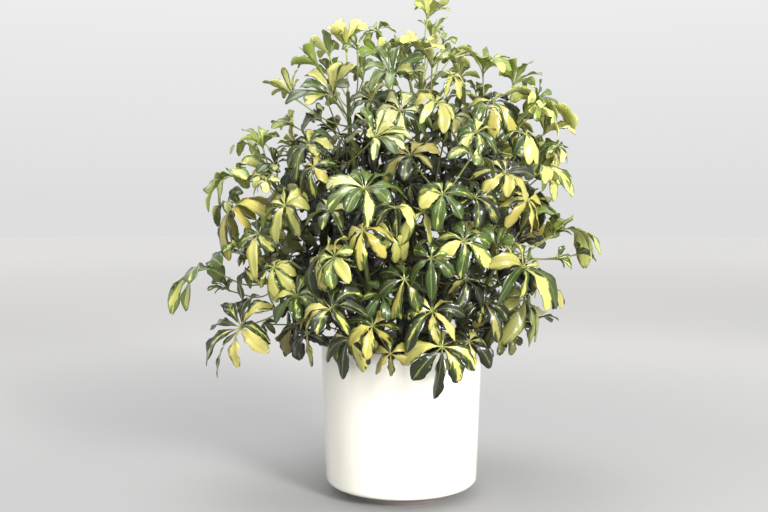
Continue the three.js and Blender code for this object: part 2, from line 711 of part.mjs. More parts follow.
// The leaf as one closed thin plate, cut between its leaflets, with its petiole below the hub
function leafSolid(leaf) {
  const { hub, normal, u, v, leaflets, notches, bend, root } = leaf;
  const count = leaflets.length;
  const upper = [hub.clone().addScaledVector(normal, BLADE_HALF_THICKNESS)];
  const lower = [];
  const both = (point, way) => {
    upper.push(point.clone().addScaledVector(way, BLADE_HALF_THICKNESS));
    lower.push(point.clone().addScaledVector(way, -BLADE_HALF_THICKNESS));
  };
  leaflets.forEach(({ left, right, tip }, i) => {
    const notch = notches[i];
    const nearFace = left.clone().sub(notch).cross(right.clone().sub(notch)).normalize().negate();
    const farFace = tip.clone().sub(left).cross(right.clone().sub(left)).normalize().negate();
    const turnNear = nearFace.dot(normal) < 0 ? nearFace.negate() : nearFace;
    const turnFar = farFace.dot(turnNear) < 0 ? farFace.negate() : farFace;
    const middle = turnNear.clone().add(turnFar).normalize();
    both(notch, normal);
    both(left, middle);
    both(tip, turnFar);
    both(right, middle);
  });
  const ringWays = [0, 1, 2].map((k) => {
    const angle = leaf.spin + (2 * Math.PI * k) / 3;
    return u.clone().multiplyScalar(Math.cos(angle)).addScaledVector(v, Math.sin(angle));
  });
  const stalk = [hub.clone().addScaledVector(normal, -BLADE_HALF_THICKNESS), bend, root];
  const rings = [];
  let ways = ringWays;
  stalk.forEach((point, i) => {
    if (i > 0) {
      const along = point.clone().sub(stalk[i - 1]).normalize();
      if (i < stalk.length - 1) {
        along.add(stalk[i + 1].clone().sub(point).normalize()).normalize();
      }
      ways = ways.map((way) => way.clone().addScaledVector(along, -way.dot(along)).normalize());
    }
    rings.push(ways.map((way) => point.clone().addScaledVector(way, PETIOLE_RADIUS)));
  });
  const points = [...upper, ...lower, ...rings.flat()];
  const low = upper.length;
  const ring = low + lower.length;
  const top = (i, part) => 1 + 4 * (i % count) + part;
  const bottom = (i, part) => low + 4 * (i % count) + part;
  const faces = [];
  for (let i = 0; i < count; i += 1) {
    faces.push([0, top(i, 0), top(i + 1, 0)]);
    faces.push([top(i, 0), top(i, 1), top(i, 3)]);
    faces.push([top(i, 0), top(i, 3), top(i + 1, 0)]);
    faces.push([top(i, 1), top(i, 2), top(i, 3)]);
    faces.push([bottom(i, 0), bottom(i, 3), bottom(i, 1)]);
    faces.push([bottom(i, 0), bottom(i + 1, 0), bottom(i, 3)]);
    faces.push([bottom(i, 1), bottom(i, 3), bottom(i, 2)]);
    const rim = [[i, 0], [i, 1], [i, 2], [i, 3], [i + 1, 0]];
    for (let k = 0; k < 4; k += 1) {
      const [a, b] = [rim[k], rim[k + 1]];
      faces.push([top(...a), bottom(...a), bottom(...b)], [top(...a), bottom(...b), top(...b)]);
    }
  }
  let outer = 0;
  let inner = 0;
  while (outer < count || inner < 3) {
    const outerAngle = (outer + 0.5) / count;
    const innerAngle = (inner + 1) / 3;
    if (inner >= 3 || (outer < count && outerAngle <= innerAngle)) {
      faces.push([bottom(outer, 0), ring + (inner % 3), bottom(outer + 1, 0)]);
      outer += 1;
    } else {
      faces.push([ring + inner, ring + ((inner + 1) % 3), bottom(outer, 0)]);
      inner += 1;
    }
  }
  for (let i = 0; i < 2; i += 1) {
    for (let k = 0; k < 3; k += 1) {
      const a = ring + 3 * i + k;
      const b = ring + 3 * i + ((k + 1) % 3);
      faces.push([a, a + 3, b + 3], [a, b + 3, b]);
    }
  }
  faces.push([ring + 6, ring + 7, ring + 8].reverse());
  return toSolid(polyhedron(points, faces));
}

function buildStem(stem) {
  const parts = stem.paths.map(({ points, radii, sides }) => toSolid(taperedTube(points, radii, sides)));
  const leaves = stem.grown.map(leafSolid);
  return toGeometry([...parts, ...leaves].reduce((whole, piece) => whole.add(piece)));
}

// Points of a round edge between two directions
function arc(x, y, radius, fromAngle, toAngle, steps) {
  return Array.from({ length: steps + 1 }, (_, i) => {
    const angle = between([fromAngle, toAngle], i / steps) * RAD;
    return new THREE.Vector2(x + radius * Math.cos(angle), y + radius * Math.sin(angle));
  });
}

const INNER_RIM_RADIUS = RIM_RADIUS - WALL;
const INNER_BOTTOM_RADIUS = POT_BOTTOM_RADIUS - WALL;
const FLOOR_HEIGHT = FOOT_HEIGHT + POT_FLOOR;

function innerRadius(height) {
  const share = (height - FLOOR_HEIGHT) / (RIM_HEIGHT - FLOOR_HEIGHT);
  return between([INNER_BOTTOM_RADIUS, INNER_RIM_RADIUS], share);
}

function lathe(profile) {
  return new THREE.LatheGeometry(profile, ROUND_SIDES).rotateX(Math.PI / 2);
}

function buildPot() {
  const edge = BOTTOM_EDGE_ROUND;
  const profile = [
    new THREE.Vector2(0, 0),
    new THREE.Vector2(FOOT_RADIUS, 0),
    new THREE.Vector2(FOOT_RADIUS, FOOT_HEIGHT),
    ...arc(POT_BOTTOM_RADIUS - edge, FOOT_HEIGHT + edge, edge, -90, 0, 3),
    ...arc(RIM_RADIUS - RIM_ROUND, RIM_HEIGHT - RIM_ROUND, RIM_ROUND, 0, 90, 2),
    ...arc(INNER_RIM_RADIUS + RIM_ROUND, RIM_HEIGHT - RIM_ROUND, RIM_ROUND, 90, 180, 2),
    new THREE.Vector2(INNER_BOTTOM_RADIUS, FLOOR_HEIGHT),
    new THREE.Vector2(0, FLOOR_HEIGHT),
  ];
  return toGeometry(toSolid(lathe(profile)));
}

function soilLump(x, y) {
  return SOIL_LUMP * (Math.sin(x * 0.052 + 0.7) * Math.cos(y * 0.047) + 0.6 * Math.sin((x - y) * 0.09));
}

function buildSoil(stems) {
  const bottom = FLOOR_HEIGHT + FIT_GAP;
  const topRadius = innerRadius(SOIL_HEIGHT) - FIT_GAP;
  const rings = [topRadius - SOIL_EDGE_BEVEL * 2, 75];
  const profile = [
    new THREE.Vector2(0, bottom),
    new THREE.Vector2(innerRadius(bottom) - FIT_GAP, bottom),
    new THREE.Vector2(topRadius, SOIL_HEIGHT - SOIL_EDGE_BEVEL),
    ...rings.map((radius) => new THREE.Vector2(radius, SOIL_HEIGHT)),
    new THREE.Vector2(0, SOIL_HEIGHT),
  ];
  const geometry = lathe(profile);
  const position = geometry.attributes.position;
  for (let i = 0; i < position.count; i += 1) {
    if (position.getZ(i) > SOIL_HEIGHT - SOIL_EDGE_BEVEL / 2) {
      position.setZ(i, SOIL_HEIGHT + soilLump(position.getX(i), position.getY(i)));
    }
  }
  let soil = toSolid(geometry);
  for (const stem of stems) {
    const { points, radii, grows } = stem.paths[0];
    const holeRadius = radii[0] + FIT_GAP / Math.cos(Math.PI / 5);
    const foot = points[0].clone().addScaledVector(grows, -FIT_GAP);
    const mouth = points[1].clone().addScaledVector(grows, FIT_GAP);
    soil = soil.subtract(toSolid(taperedTube([foot, mouth], [holeRadius, holeRadius], 5)));
  }
  return toGeometry(soil);
}

const potFinish = new THREE.MeshStandardMaterial({ color: 0xf3f0ea, roughness: 0.18, metalness: 0 });
const soilFinish = new THREE.MeshStandardMaterial({ color: 0x2a211b, roughness: 0.95, metalness: 0 });
const leafFinish = new THREE.MeshStandardMaterial({ color: 0x6f9440, roughness: 0.4, metalness: 0 });

function piece(name, geometry, finish) {
  const mesh = new THREE.Mesh(geometry, finish.clone());
  mesh.name = name;
  return mesh;
}

const plant = new THREE.Group();
plant.name = 'potted_umbrella_plant';
const stems = growLeaves();
plant.add(piece('pot', buildPot(), potFinish));
plant.add(piece('soil', buildSoil(stems), soilFinish));
for (const stem of stems) {
  plant.add(piece(stem.name, buildStem(stem), leafFinish));
}

export default plant;
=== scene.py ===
"""Potted umbrella plant: a bushy variegated dwarf umbrella tree in a plain glossy white pot.

The rule that placed the leaves of the solids is worked here again, in the same order of draws, so each
fine leaf stands where its solid does. Sizes are in millimetres until a mesh is made, which is in metres.
"""
from __future__ import annotations

import logging
import math
from dataclasses import dataclass, field, fields
from enum import Enum, IntEnum

import bpy
import numpy as np
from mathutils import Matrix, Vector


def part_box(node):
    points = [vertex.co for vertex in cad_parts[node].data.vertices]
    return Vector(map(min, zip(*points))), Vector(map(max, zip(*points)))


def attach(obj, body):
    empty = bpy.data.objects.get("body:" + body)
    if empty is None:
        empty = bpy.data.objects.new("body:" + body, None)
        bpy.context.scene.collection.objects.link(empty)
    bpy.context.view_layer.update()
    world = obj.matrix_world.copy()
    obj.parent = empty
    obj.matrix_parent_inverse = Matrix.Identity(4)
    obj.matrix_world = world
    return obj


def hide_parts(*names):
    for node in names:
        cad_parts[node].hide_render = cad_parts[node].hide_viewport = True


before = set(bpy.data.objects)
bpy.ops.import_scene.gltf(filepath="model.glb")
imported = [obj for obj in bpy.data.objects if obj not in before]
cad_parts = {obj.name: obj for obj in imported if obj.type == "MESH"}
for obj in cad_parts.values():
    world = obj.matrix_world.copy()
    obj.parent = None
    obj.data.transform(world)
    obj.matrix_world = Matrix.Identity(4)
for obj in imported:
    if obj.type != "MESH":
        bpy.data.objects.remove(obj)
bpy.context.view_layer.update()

MM = 0.001
BODY = "root"
GRAIN = "grain"

# Height of the soil's even top, the share of its length at which a leaflet is widest, and the angle
# between straight up and level.
SOIL = 258
WIDEST_AT = 0.6
LEVEL = 90

# Below these a line runs along a plane, and two lines are parallel.
LEAST_CHANGE = 1e-12
LEAST_SKEW = 1e-9

LOG = logging.getLogger("potted_umbrella_plant")


# Named choices

class Habit(Enum):
    """How steeply leaflets leave the hub and how steeply their tips go on, in degrees."""

    UPRIGHT = (50, 24)
    CUP = (36, 12)
    FLAT = (10, -20)
    DROOP = (-14, -48)


class Tone(Enum):
    """Youth of a leaf's green and warmth of its yellow, each from 0 to 1."""

    YOUNG = (1.0, 0.45)
    BRIGHT = (0.55, 0.4)
    CREAM = (0.45, 0.1)
    MATURE = (0.38, 0.5)
    OCHRE = (0.15, 1.0)
    DARK = (0.0, 0.6)


class Wear(IntEnum):
    """Which material of a leafy stem a surface wears, by slot number."""

    BLADE = 0
    STALK = 1
    BARK = 2


UPRIGHT, CUP, FLAT, DROOP = Habit
YOUNG, BRIGHT, CREAM, MATURE, OCHRE, DARK = Tone

# Slope of a leaflet's halves up from its midrib, and how far it rises out of the leaf's plane as a
# share of its length.
KEEL = {UPRIGHT: 0.34, CUP: 0.28, FLAT: 0.2, DROOP: -0.2}
RISE = {UPRIGHT: 0.34, CUP: 0.26, FLAT: -0.1, DROOP: -0.12}


# Repeatable draws and small vector helpers

class Draws:
    """Linear congruential draws from 0 to 1, the same on every run."""

    SPREAD = 2654435761
    FACTOR = 1664525
    STEP = 1013904223
    WORD = 2 ** 32

    def __init__(self, seed: int) -> None:
        """Start the run of draws that belongs to a seed."""
        self.state = (seed + 1) * self.SPREAD % self.WORD

    def one(self) -> float:
        """Return the next draw."""
        self.state = (self.state * self.FACTOR + self.STEP) % self.WORD
        return self.state / self.WORD

    def many(self, count: int) -> np.ndarray:
        """Return the next draws as an array."""
        return np.array([self.one() for _ in range(count)])


def between(low: float, high: float, share: float) -> float:
    """Return the value a share of the way from low to high."""
    return low + (high - low) * share


def unit(vectors: np.ndarray) -> np.ndarray:
    """Return vectors brought to length one along their last axis."""
    return vectors / np.linalg.norm(vectors, axis=-1, keepdims=True)


def lean_direction(turn: float, lean: float) -> np.ndarray:
    """Return the direction that leans a given angle away from straight up, towards a compass turn.

    Args:
        turn: Compass angle in degrees, from +X towards +Y.
        lean: Angle from straight up in degrees.

    Returns:
        A direction of length one.
    """
    turned, leant = math.radians(turn), math.radians(lean)
    level = math.sin(leant)
    return np.array([level * math.cos(turned), level * math.sin(turned), math.cos(leant)])


def walked(points: np.ndarray) -> np.ndarray:
    """Return the length of a bent line from its start to each of its points."""
    return np.concatenate([[0], np.cumsum(np.linalg.norm(np.diff(points, axis=0), axis=1))])


def smooth_step(low: float, high: float, values: np.ndarray) -> np.ndarray:
    """Return 0 below low, 1 above high and an even S between them."""
    share = np.clip((values - low) / (high - low), 0, 1)
    return share * share * (3 - 2 * share)


# Surfaces and meshes

@dataclass
class Surface:
    """A surface of four- and three-cornered faces, each corner with its own place on the grain map.

    Attributes:
        points: Places of the points, in millimetres.
        quads: Four point numbers a face.
        quad_grain: Grain map places of the corners of the quads.
        triangles: Three point numbers a face.
        triangle_grain: Grain map places of the corners of the triangles.
        flat: Whether each quad is shaded flat.
        values: Named numbers, one a point.
        slot: Which material of its piece it wears.
    """

    points: np.ndarray
    quads: np.ndarray
    quad_grain: np.ndarray
    triangles: np.ndarray = field(default_factory=lambda: np.zeros((0, 3), int))
    triangle_grain: np.ndarray = field(default_factory=lambda: np.zeros((0, 3, 2)))
    flat: np.ndarray | None = None
    values: dict[str, np.ndarray] = field(default_factory=dict)
    slot: int = 0

    def tell(self, **values: float) -> Surface:
        """Give every point the same named numbers.

        Args:
            values: The numbers by name.

        Returns:
            The surface itself.
        """
        for name, value in values.items():
            self.values[name] = np.full(len(self.points), float(value))
        return self


def grid_quads(rows: int, columns: int, closed: bool) -> tuple[np.ndarray, np.ndarray]:
    """Number the faces of a grid of points and place their corners from 0 to 1 both ways.

    Args:
        rows: Rows of points.
        columns: Points in each row.
        closed: Whether the last point of a row joins its first.

    Returns:
        The quads, and the row and column share of each corner.
    """
    steps = columns if closed else columns - 1
    row, column = np.mgrid[0:rows - 1, 0:steps]
    corner_rows = np.stack([row, row, row + 1, row + 1], axis=-1).reshape(-1, 4)
    corner_columns = np.stack([column, column + 1, column + 1, column], axis=-1).reshape(-1, 4)
    quads = corner_rows * columns + corner_columns % columns
    return quads, np.stack([corner_rows / (rows - 1), corner_columns / steps], axis=-1)


def round_surface(rings: np.ndarray, along: np.ndarray, poles: np.ndarray, slot: int = 0) -> Surface:
    """Join rings of points into a closed skin, with a fan to a pole at each end.

    Args:
        rings: Points ring by ring, counterclockwise seen from the far end.
        along: Grain map place of each ring, along the skin.
        poles: The point that closes the first ring, then the one that closes the last.
        slot: Which material of its piece the skin wears.

    Returns:
        The closed surface.
    """
    count, sides = rings.shape[:2]
    quads, shares = grid_quads(count, sides, closed=True)
    rows = np.rint(shares[..., 0] * (count - 1)).astype(int)
    grain = np.stack([along[rows], shares[..., 1]], axis=-1)
    first, last = count * sides, count * sides + 1
    side = np.arange(sides)
    after = (side + 1) % sides
    far = side + (count - 1) * sides
    near_fan = np.stack([np.full(sides, first), after, side], axis=-1)
    far_fan = np.stack([np.full(sides, last), far, after + (count - 1) * sides], axis=-1)
    place, place_after, middle = side / sides, (side + 1) / sides, (side + 0.5) / sides
    near_grain = np.stack([middle, place_after, place], axis=-1)
    far_grain = np.stack([middle, place, place_after], axis=-1)
    ends = np.repeat(along[[0, -1]], sides)[:, None].repeat(3, axis=1)
    across = np.concatenate([near_grain, far_grain])
    return Surface(
        points=np.concatenate([rings.reshape(-1, 3), poles]),
        quads=quads,
        quad_grain=grain,
        triangles=np.concatenate([near_fan, far_fan]),
        triangle_grain=np.stack([ends, across], axis=-1),
        slot=slot,
    )


def tube(path: np.ndarray, radii: np.ndarray, sides: int, slot: int) -> Surface:
    """Carry a circle along a path, each circle square to the path, with a rounded pole at both ends.

    Args:
        path: Points along the middle.
        radii: Radius at each point.
        sides: Points in each ring.
        slot: Which material of its piece the tube wears.

    Returns:
        The closed surface, its grain map in millimetres along and shares of a turn round.
    """
    bulge = 0.5
    ways = unit(np.gradient(path, axis=0))
    chord = np.abs(path[-1] - path[0])
    reference = np.eye(3)[np.argmin(chord)]
    across = unit(reference - ways * (ways @ reference)[:, None])
    other = np.cross(ways, across)
    turn = np.linspace(0, 2 * np.pi, sides, endpoint=False)
    ring = across[:, None] * np.cos(turn)[:, None] + other[:, None] * np.sin(turn)[:, None]
    rings = path[:, None] + ring * radii[:, None, None]
    poles = path[[0, -1]] + ways[[0, -1]] * radii[[0, -1], None] * np.array([[-bulge], [bulge]])
    return round_surface(rings, walked(path), poles, slot)


def lathe(profile: np.ndarray, sides: int) -> Surface:
    """Turn a profile of radius and height round the upright axis, from its lowest middle outwards.

    Args:
        profile: Radius and height of each point but the two on the axis, which close it.
        sides: Points in each ring.

    Returns:
        The closed surface.
    """
    turn = np.linspace(0, 2 * np.pi, sides, endpoint=False)
    radius, height = profile[:, 0, None], profile[:, 1, None]
    level = np.broadcast_to(height, (len(profile), sides))
    rings = np.stack([radius * np.cos(turn), radius * np.sin(turn), level], axis=-1)
    poles = np.array([[0, 0, profile[0, 1]], [0, 0, profile[-1, 1]]])
    return round_surface(rings, walked(profile), poles)


def rounded_path(points: np.ndarray, spacing: float, window: float) -> np.ndarray:
    """Walk a bent line in even steps and round its corners.

    Each place is the mean of the bent line over a window about it, and the window closes towards the
    ends, so the ends stay where they are.

    Args:
        points: Corners of the bent line.
        spacing: About how far apart the steps are.
        window: Half the length that each mean is taken over.

    Returns:
        Evenly spaced points along the rounded line.
    """
    fewest_steps, samples = 4, 9
    marks = walked(points)
    total = marks[-1]
    places = np.linspace(0, total, max(int(total / spacing), fewest_steps) + 1)
    reach = np.minimum(np.minimum(places, total - places), window)
    spread = places + reach * np.linspace(-1, 1, samples)[:, None]
    return np.stack([np.interp(spread, marks, points[:, axis]).mean(axis=0) for axis in range(3)], axis=-1)


def make_piece(name: str, surfaces: list[Surface], materials: list[bpy.types.Material],
               node: str) -> bpy.types.Object:
    """Put surfaces into one mesh object that stands for a node.

    Args:
        name: Name of the piece.
        surfaces: What it is made of, in millimetres.
        materials: Its materials, by slot number.
        node: The node that it stands for.

    Returns:
        The finished object, at the origin.
    """
    starts = np.cumsum([0] + [len(surface.points) for surface in surfaces[:-1]])
    points = np.concatenate([surface.points for surface in surfaces]) * MM
    quads = np.concatenate([surface.quads + start for surface, start in zip(surfaces, starts)])
    triangles = np.concatenate([surface.triangles + start for surface, start in zip(surfaces, starts)])
    corners = np.concatenate([quads.ravel(), triangles.ravel()]).astype(np.int32)
    sizes = np.concatenate([np.full(len(quads), 4), np.full(len(triangles), 3)])
    grain = np.concatenate([
        *[surface.quad_grain.reshape(-1, 2) for surface in surfaces],
        *[surface.triangle_grain.reshape(-1, 2) for surface in surfaces],
    ])
    slots = np.concatenate([
        *[np.full(len(surface.quads), surface.slot) for surface in surfaces],
        *[np.full(len(surface.triangles), surface.slot) for surface in surfaces],
    ])
    smooth = [np.zeros(len(surface.quads), bool) for surface in surfaces]
    flat = np.concatenate([
        *[plain if surface.flat is None else surface.flat for surface, plain in zip(surfaces, smooth)],
        np.zeros(len(triangles), bool),
    ])
    mesh = bpy.data.meshes.new(name)
    mesh.vertices.add(len(points))
    mesh.vertices.foreach_set("co", points.astype(np.float32).ravel())
    mesh.loops.add(len(corners))
    mesh.loops.foreach_set("vertex_index", corners)
    mesh.polygons.add(len(sizes))
    mesh.polygons.foreach_set("loop_start", (np.cumsum(sizes) - sizes).astype(np.int32))
    mesh.polygons.foreach_set("material_index", slots.astype(np.int32))
    mesh.update(calc_edges=True)
    mesh.attributes.new("sharp_face", "BOOLEAN", "FACE").data.foreach_set("value", flat)
    mesh.uv_layers.new(name=GRAIN).uv.foreach_set("vector", grain.astype(np.float32).ravel())
    for key in sorted({key for surface in surfaces for key in surface.values}):
        numbers = np.concatenate([
            surface.values.get(key, np.zeros(len(surface.points))) for surface in surfaces
        ])
        mesh.attributes.new(key, "FLOAT", "POINT").data.foreach_set("value", numbers.astype(np.float32))
    for material in materials:
        mesh.materials.append(material)
    piece = bpy.data.objects.new(name, mesh)
    bpy.context.scene.collection.objects.link(piece)
    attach(piece, BODY)
    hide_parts(node)
    return piece


# Finishes

Link = bpy.types.NodeSocket
Number = float | Link
Colour = tuple[float, float, float, float] | Link


def shade(red: int, green: int, blue: int) -> tuple[float, float, float, float]:
    """Turn a colour of the screen into linear light.

    Args:
        red: Screen value from 0 to 255.
        green: Screen value from 0 to 255.
        blue: Screen value from 0 to 255.

    Returns:
        The colour with full cover.
    """
    screen = np.array([red, green, blue]) / 255
    linear = np.where(screen <= 0.04045, screen / 12.92, ((screen + 0.055) / 1.055) ** 2.4)
    return (*linear.tolist(), 1.0)


class Wiring:
    """Adds the nodes of a material or of the surround and joins them."""

    def __init__(self, holder: bpy.types.Material | bpy.types.World) -> None:
        """Start with no nodes.

        Args:
            holder: The material or surround that gets them.
        """
        self.holder = holder
        holder.use_nodes = True
        self.tree = holder.node_tree
        self.tree.nodes.clear()

    def add(self, kind: str, inputs: dict[str | int, object], **settings: object) -> bpy.types.Node:
        """Add a node.

        Args:
            kind: Blender's name of the node.
            inputs: Numbers, colours or sockets to join, by input name or number.
            settings: The node's own settings.

        Returns:
            The node.
        """
        node = self.tree.nodes.new(kind)
        for key, value in settings.items():
            setattr(node, key, value)
        for key, value in inputs.items():
            if isinstance(value, bpy.types.NodeSocket):
                self.tree.links.new(value, node.inputs[key])
            else:
                node.inputs[key].default_value = value
        return node

    def maths(self, operation: str, first: Number, second: Number = 0.0, third: Number = 0.0) -> Link:
        """Return the result of an arithmetic node."""
        return self.add("ShaderNodeMath", {0: first, 1: second, 2: third}, operation=operation).outputs[0]

    def times(self, first: Number, second: Number) -> Link:
        """Return a product."""
        return self.maths("MULTIPLY", first, second)

    def sum(self, *terms: tuple[Number, float]) -> Link:
        """Add up weighted terms.

        Args:
            terms: Numbers with their weights.

        Returns:
            The sum.
        """
        total: Number = 0.0
        for term, weight in terms:
            total = self.maths("MULTIPLY_ADD", term, weight, total)
        return total

    def step(self, value: Link, low: Number, high: Number) -> Link:
        """Return 0 at low and 1 at high with a smooth rise or fall between."""
        inputs = {"Value": value, "From Min": low, "From Max": high}
        return self.add("ShaderNodeMapRange", inputs, interpolation_type="SMOOTHSTEP").outputs[0]

    def mix(self, share: Number, first: Colour, second: Colour, blend: str = "MIX") -> Link:
        """Return two colours mixed by a share."""
        inputs = {0: share, 6: first, 7: second}
        return self.add("ShaderNodeMix", inputs, data_type="RGBA", blend_type=blend).outputs[2]

    def ramp(self, value: Link, stops: list[tuple[float, tuple[float, float, float, float]]]) -> Link:
        """Look a number up in a ramp of colours.

        Args:
            value: The number, from 0 to 1.
            stops: Places on the ramp with their colours.

        Returns:
            The colour.
        """
        node = self.add("ShaderNodeValToRGB", {0: value})
        elements = node.color_ramp.elements
        while len(elements) < len(stops):
            elements.new(0.5)
        for element, (place, colour) in zip(elements, stops):
            element.position = place
            element.color = colour
        return node.outputs[0]

    def number(self, name: str) -> Link:
        """Return a named number of the surface."""
        return self.add("ShaderNodeAttribute", {}, attribute_name=name).outputs["Fac"]

    def grain(self) -> tuple[Link, Link]:
        """Read the grain map.

        Returns:
            Its two coordinates.
        """
        place = self.add("ShaderNodeUVMap", {}, uv_map=GRAIN).outputs[0]
        parts = self.add("ShaderNodeSeparateXYZ", {0: place}).outputs
        return parts[0], parts[1]

    def place(self) -> Link:
        """Return the place on the object."""
        return self.add("ShaderNodeTexCoord", {}).outputs["Object"]

    def height(self) -> Link:
        """Return the height above the floor in metres."""
        return self.add("ShaderNodeSeparateXYZ", {0: self.place()}).outputs[2]

    def noise(self, vector: Link, scale: float, detail: float = 2.0, roughness: float = 0.5) -> Link:
        """Return smooth noise from 0 to 1."""
        inputs = {"Vector": vector, "Scale": scale, "Detail": detail, "Roughness": roughness}
        return self.add("ShaderNodeTexNoise", inputs).outputs[0]

    def joined(self, x: Number, y: Number, z: Number) -> Link:
        """Return three numbers as one vector."""
        return self.add("ShaderNodeCombineXYZ", {0: x, 1: y, 2: z}).outputs[0]

    def drawn_out(self, along: Link, across: Link, scales: tuple[float, float], detail: float,
                  apart: Number = 0.0) -> Link:
        """Add noise that is drawn out one way, because it is scaled differently along and across.

        Args:
            along: The first coordinate.
            across: The second coordinate.
            scales: Scale of each of them.
            detail: Octaves of the noise.
            apart: A third coordinate, which sets pieces apart from each other.

        Returns:
            Smooth noise from 0 to 1.
        """
        place = self.joined(self.times(along, scales[0]), self.times(across, scales[1]), apart)
        return self.noise(place, 1.0, detail)

    def bump(self, height: Link, strength: float, depth: float) -> Link:
        """Return the surface direction bent by a height."""
        inputs = {"Height": height, "Strength": strength, "Distance": depth}
        return self.add("ShaderNodeBump", inputs).outputs[0]

    def principled(self, **inputs: object) -> Link:
        """Return a principled shader; its inputs are named in lower case with underscores."""
        names = [key.replace("_", " ").title().replace("Ior", "IOR") for key in inputs]
        return self.add("ShaderNodeBsdfPrincipled", dict(zip(names, inputs.values()))).outputs[0]

    def finish(self, shader: Link) -> bpy.types.Material:
        """Join the shader to the output and return the material."""
        self.add("ShaderNodeOutputMaterial", {"Surface": shader})
        return self.holder


@dataclass(frozen=True)
class BladeFinish:
    """Leathery glossy leaflets, yellow along the middle in splashes that follow the side veins."""

    dark: tuple = shade(28, 38, 12)
    mature: tuple = shade(55, 78, 20)
    young: tuple = shade(130, 152, 58)
    cream: tuple = shade(240, 236, 194)
    bright: tuple = shade(227, 222, 128)
    ochre: tuple = shade(200, 182, 86)
    lime: tuple = shade(198, 212, 104)
    rib: tuple = shade(170, 178, 98)
    back: tuple = shade(138, 150, 86)
    sooty: tuple = shade(162, 158, 142)
    dim: tuple = shade(187, 182, 146)
    inner: tuple = shade(76, 72, 38)
    vein_slant: float = 0.34
    side_veins: float = 9.0
    broad_scales: tuple = (4.2, 2.6)
    streak_scales: tuple = (15.0, 4.0)
    leaflets_apart: float = 60.0
    other_draw: float = 7.3
    yellow_edge: tuple = (0.86, 0.8)
    halo_edge: tuple = (1.16, 0.98)
    midrib_edge: tuple = (0.1, 0.03)
    vein_edge: tuple = (0.09, 0.0)
    vein_fade: tuple = (1.0, 0.55)
    stalk_zone: tuple = (0.15, 0.05)
    dull_age: tuple = (0.3, 0.0)
    relief: tuple = (0.5, 0.0006)
    coat_roughness: float = 0.19
    light_through: float = 0.12

    def make(self) -> bpy.types.Material:
        """Make the blade material.

        The grain map runs from base to tip and from margin to margin. A place is yellow where its
        distance from the midrib, roughened by noise drawn out along the side veins, stays below a level
        set by the leaflet's share of gold. A paler green halo lies round the yellow. Old leaves have
        duller greens, young ones limier yellows, and each leaflet is pale towards its short stalk. Leaves
        deep inside the bush are darkened by painted shade, and are less glossy.

        Returns:
            The material.
        """
        w = Wiring(bpy.data.materials.new("umbrella_leaf_blade"))
        along, side = w.grain()
        out = w.maths("ABSOLUTE", w.maths("MULTIPLY_ADD", side, 2.0, -1.0))
        gold, fresh, warm = w.number("gold"), w.number("fresh"), w.number("warm")
        draw, under = w.number("draw"), w.number("under")
        vein = w.sum((along, 1.0), (out, -self.vein_slant))
        apart = w.times(draw, self.leaflets_apart)
        broad = w.drawn_out(vein, side, self.broad_scales, 1.0, apart)
        streak = w.drawn_out(vein, side, self.streak_scales, 2.0, apart)
        other = w.maths("FRACT", w.times(draw, self.other_draw))
        level = w.sum((out, 0.95), (broad, 1.7), (streak, 0.75), (gold, -1.45), (1.0, 0.02))
        yellow = w.step(level, *self.yellow_edge)
        halo = w.step(level, *self.halo_edge)
        green = w.ramp(w.sum((fresh, 0.82), (streak, 0.16), (draw, 0.14)),
                       [(0.0, self.dark), (0.45, self.mature), (1.0, self.young)])
        green = w.mix(w.step(fresh, *self.dull_age), green, self.dim, "MULTIPLY")
        golden = w.ramp(w.sum((warm, 0.72), (broad, 0.2), (other, 0.16)),
                        [(0.0, self.cream), (0.42, self.bright), (1.0, self.ochre)])
        golden = w.mix(w.sum((fresh, 0.45), (streak, 0.2), (1.0, -0.1)), golden, self.lime)
        pale_green = w.mix(0.45, green, self.young)
        colour = w.mix(yellow, w.mix(halo, green, pale_green), golden)
        midrib = w.step(out, *self.midrib_edge)
        beat = w.maths("FRACT", w.times(vein, self.side_veins))
        comb = w.maths("ABSOLUTE", w.maths("SUBTRACT", beat, 0.5))
        lines = w.times(w.step(comb, *self.vein_edge), w.step(out, *self.vein_fade))
        colour = w.mix(w.sum((midrib, 0.5), (lines, 0.16)), colour, self.rib)
        colour = w.mix(w.times(w.step(along, *self.stalk_zone), 0.7), colour, self.rib)
        colour = w.mix(w.times(under, 0.42), colour, self.back)
        colour = w.mix(w.times(other, 0.4), colour, self.sooty, "MULTIPLY")
        # Painted shade: leaves deep inside the bush are multiplied towards a dark olive, which stands in for
        # the shade there.
        colour = w.mix(w.number("inner"), colour, self.inner, "MULTIPLY")
        ridge = w.sum((midrib, -0.8), (lines, -0.35), (streak, 0.3))
        shader = w.principled(
            base_color=colour,
            roughness=w.sum((streak, 0.12), (under, 0.3), (w.number("inner"), 0.4), (1.0, 0.19)),
            specular_ior_level=0.4,
            coat_weight=0.65,
            coat_roughness=self.coat_roughness,
            normal=w.bump(ridge, *self.relief),
        )
        glow = {"Color": w.mix(0.35, colour, self.bright)}
        through = w.add("ShaderNodeBsdfTranslucent", glow).outputs[0]
        blade = w.add("ShaderNodeMixShader", {0: self.light_through, 1: shader, 2: through})
        return w.finish(blade.outputs[0])


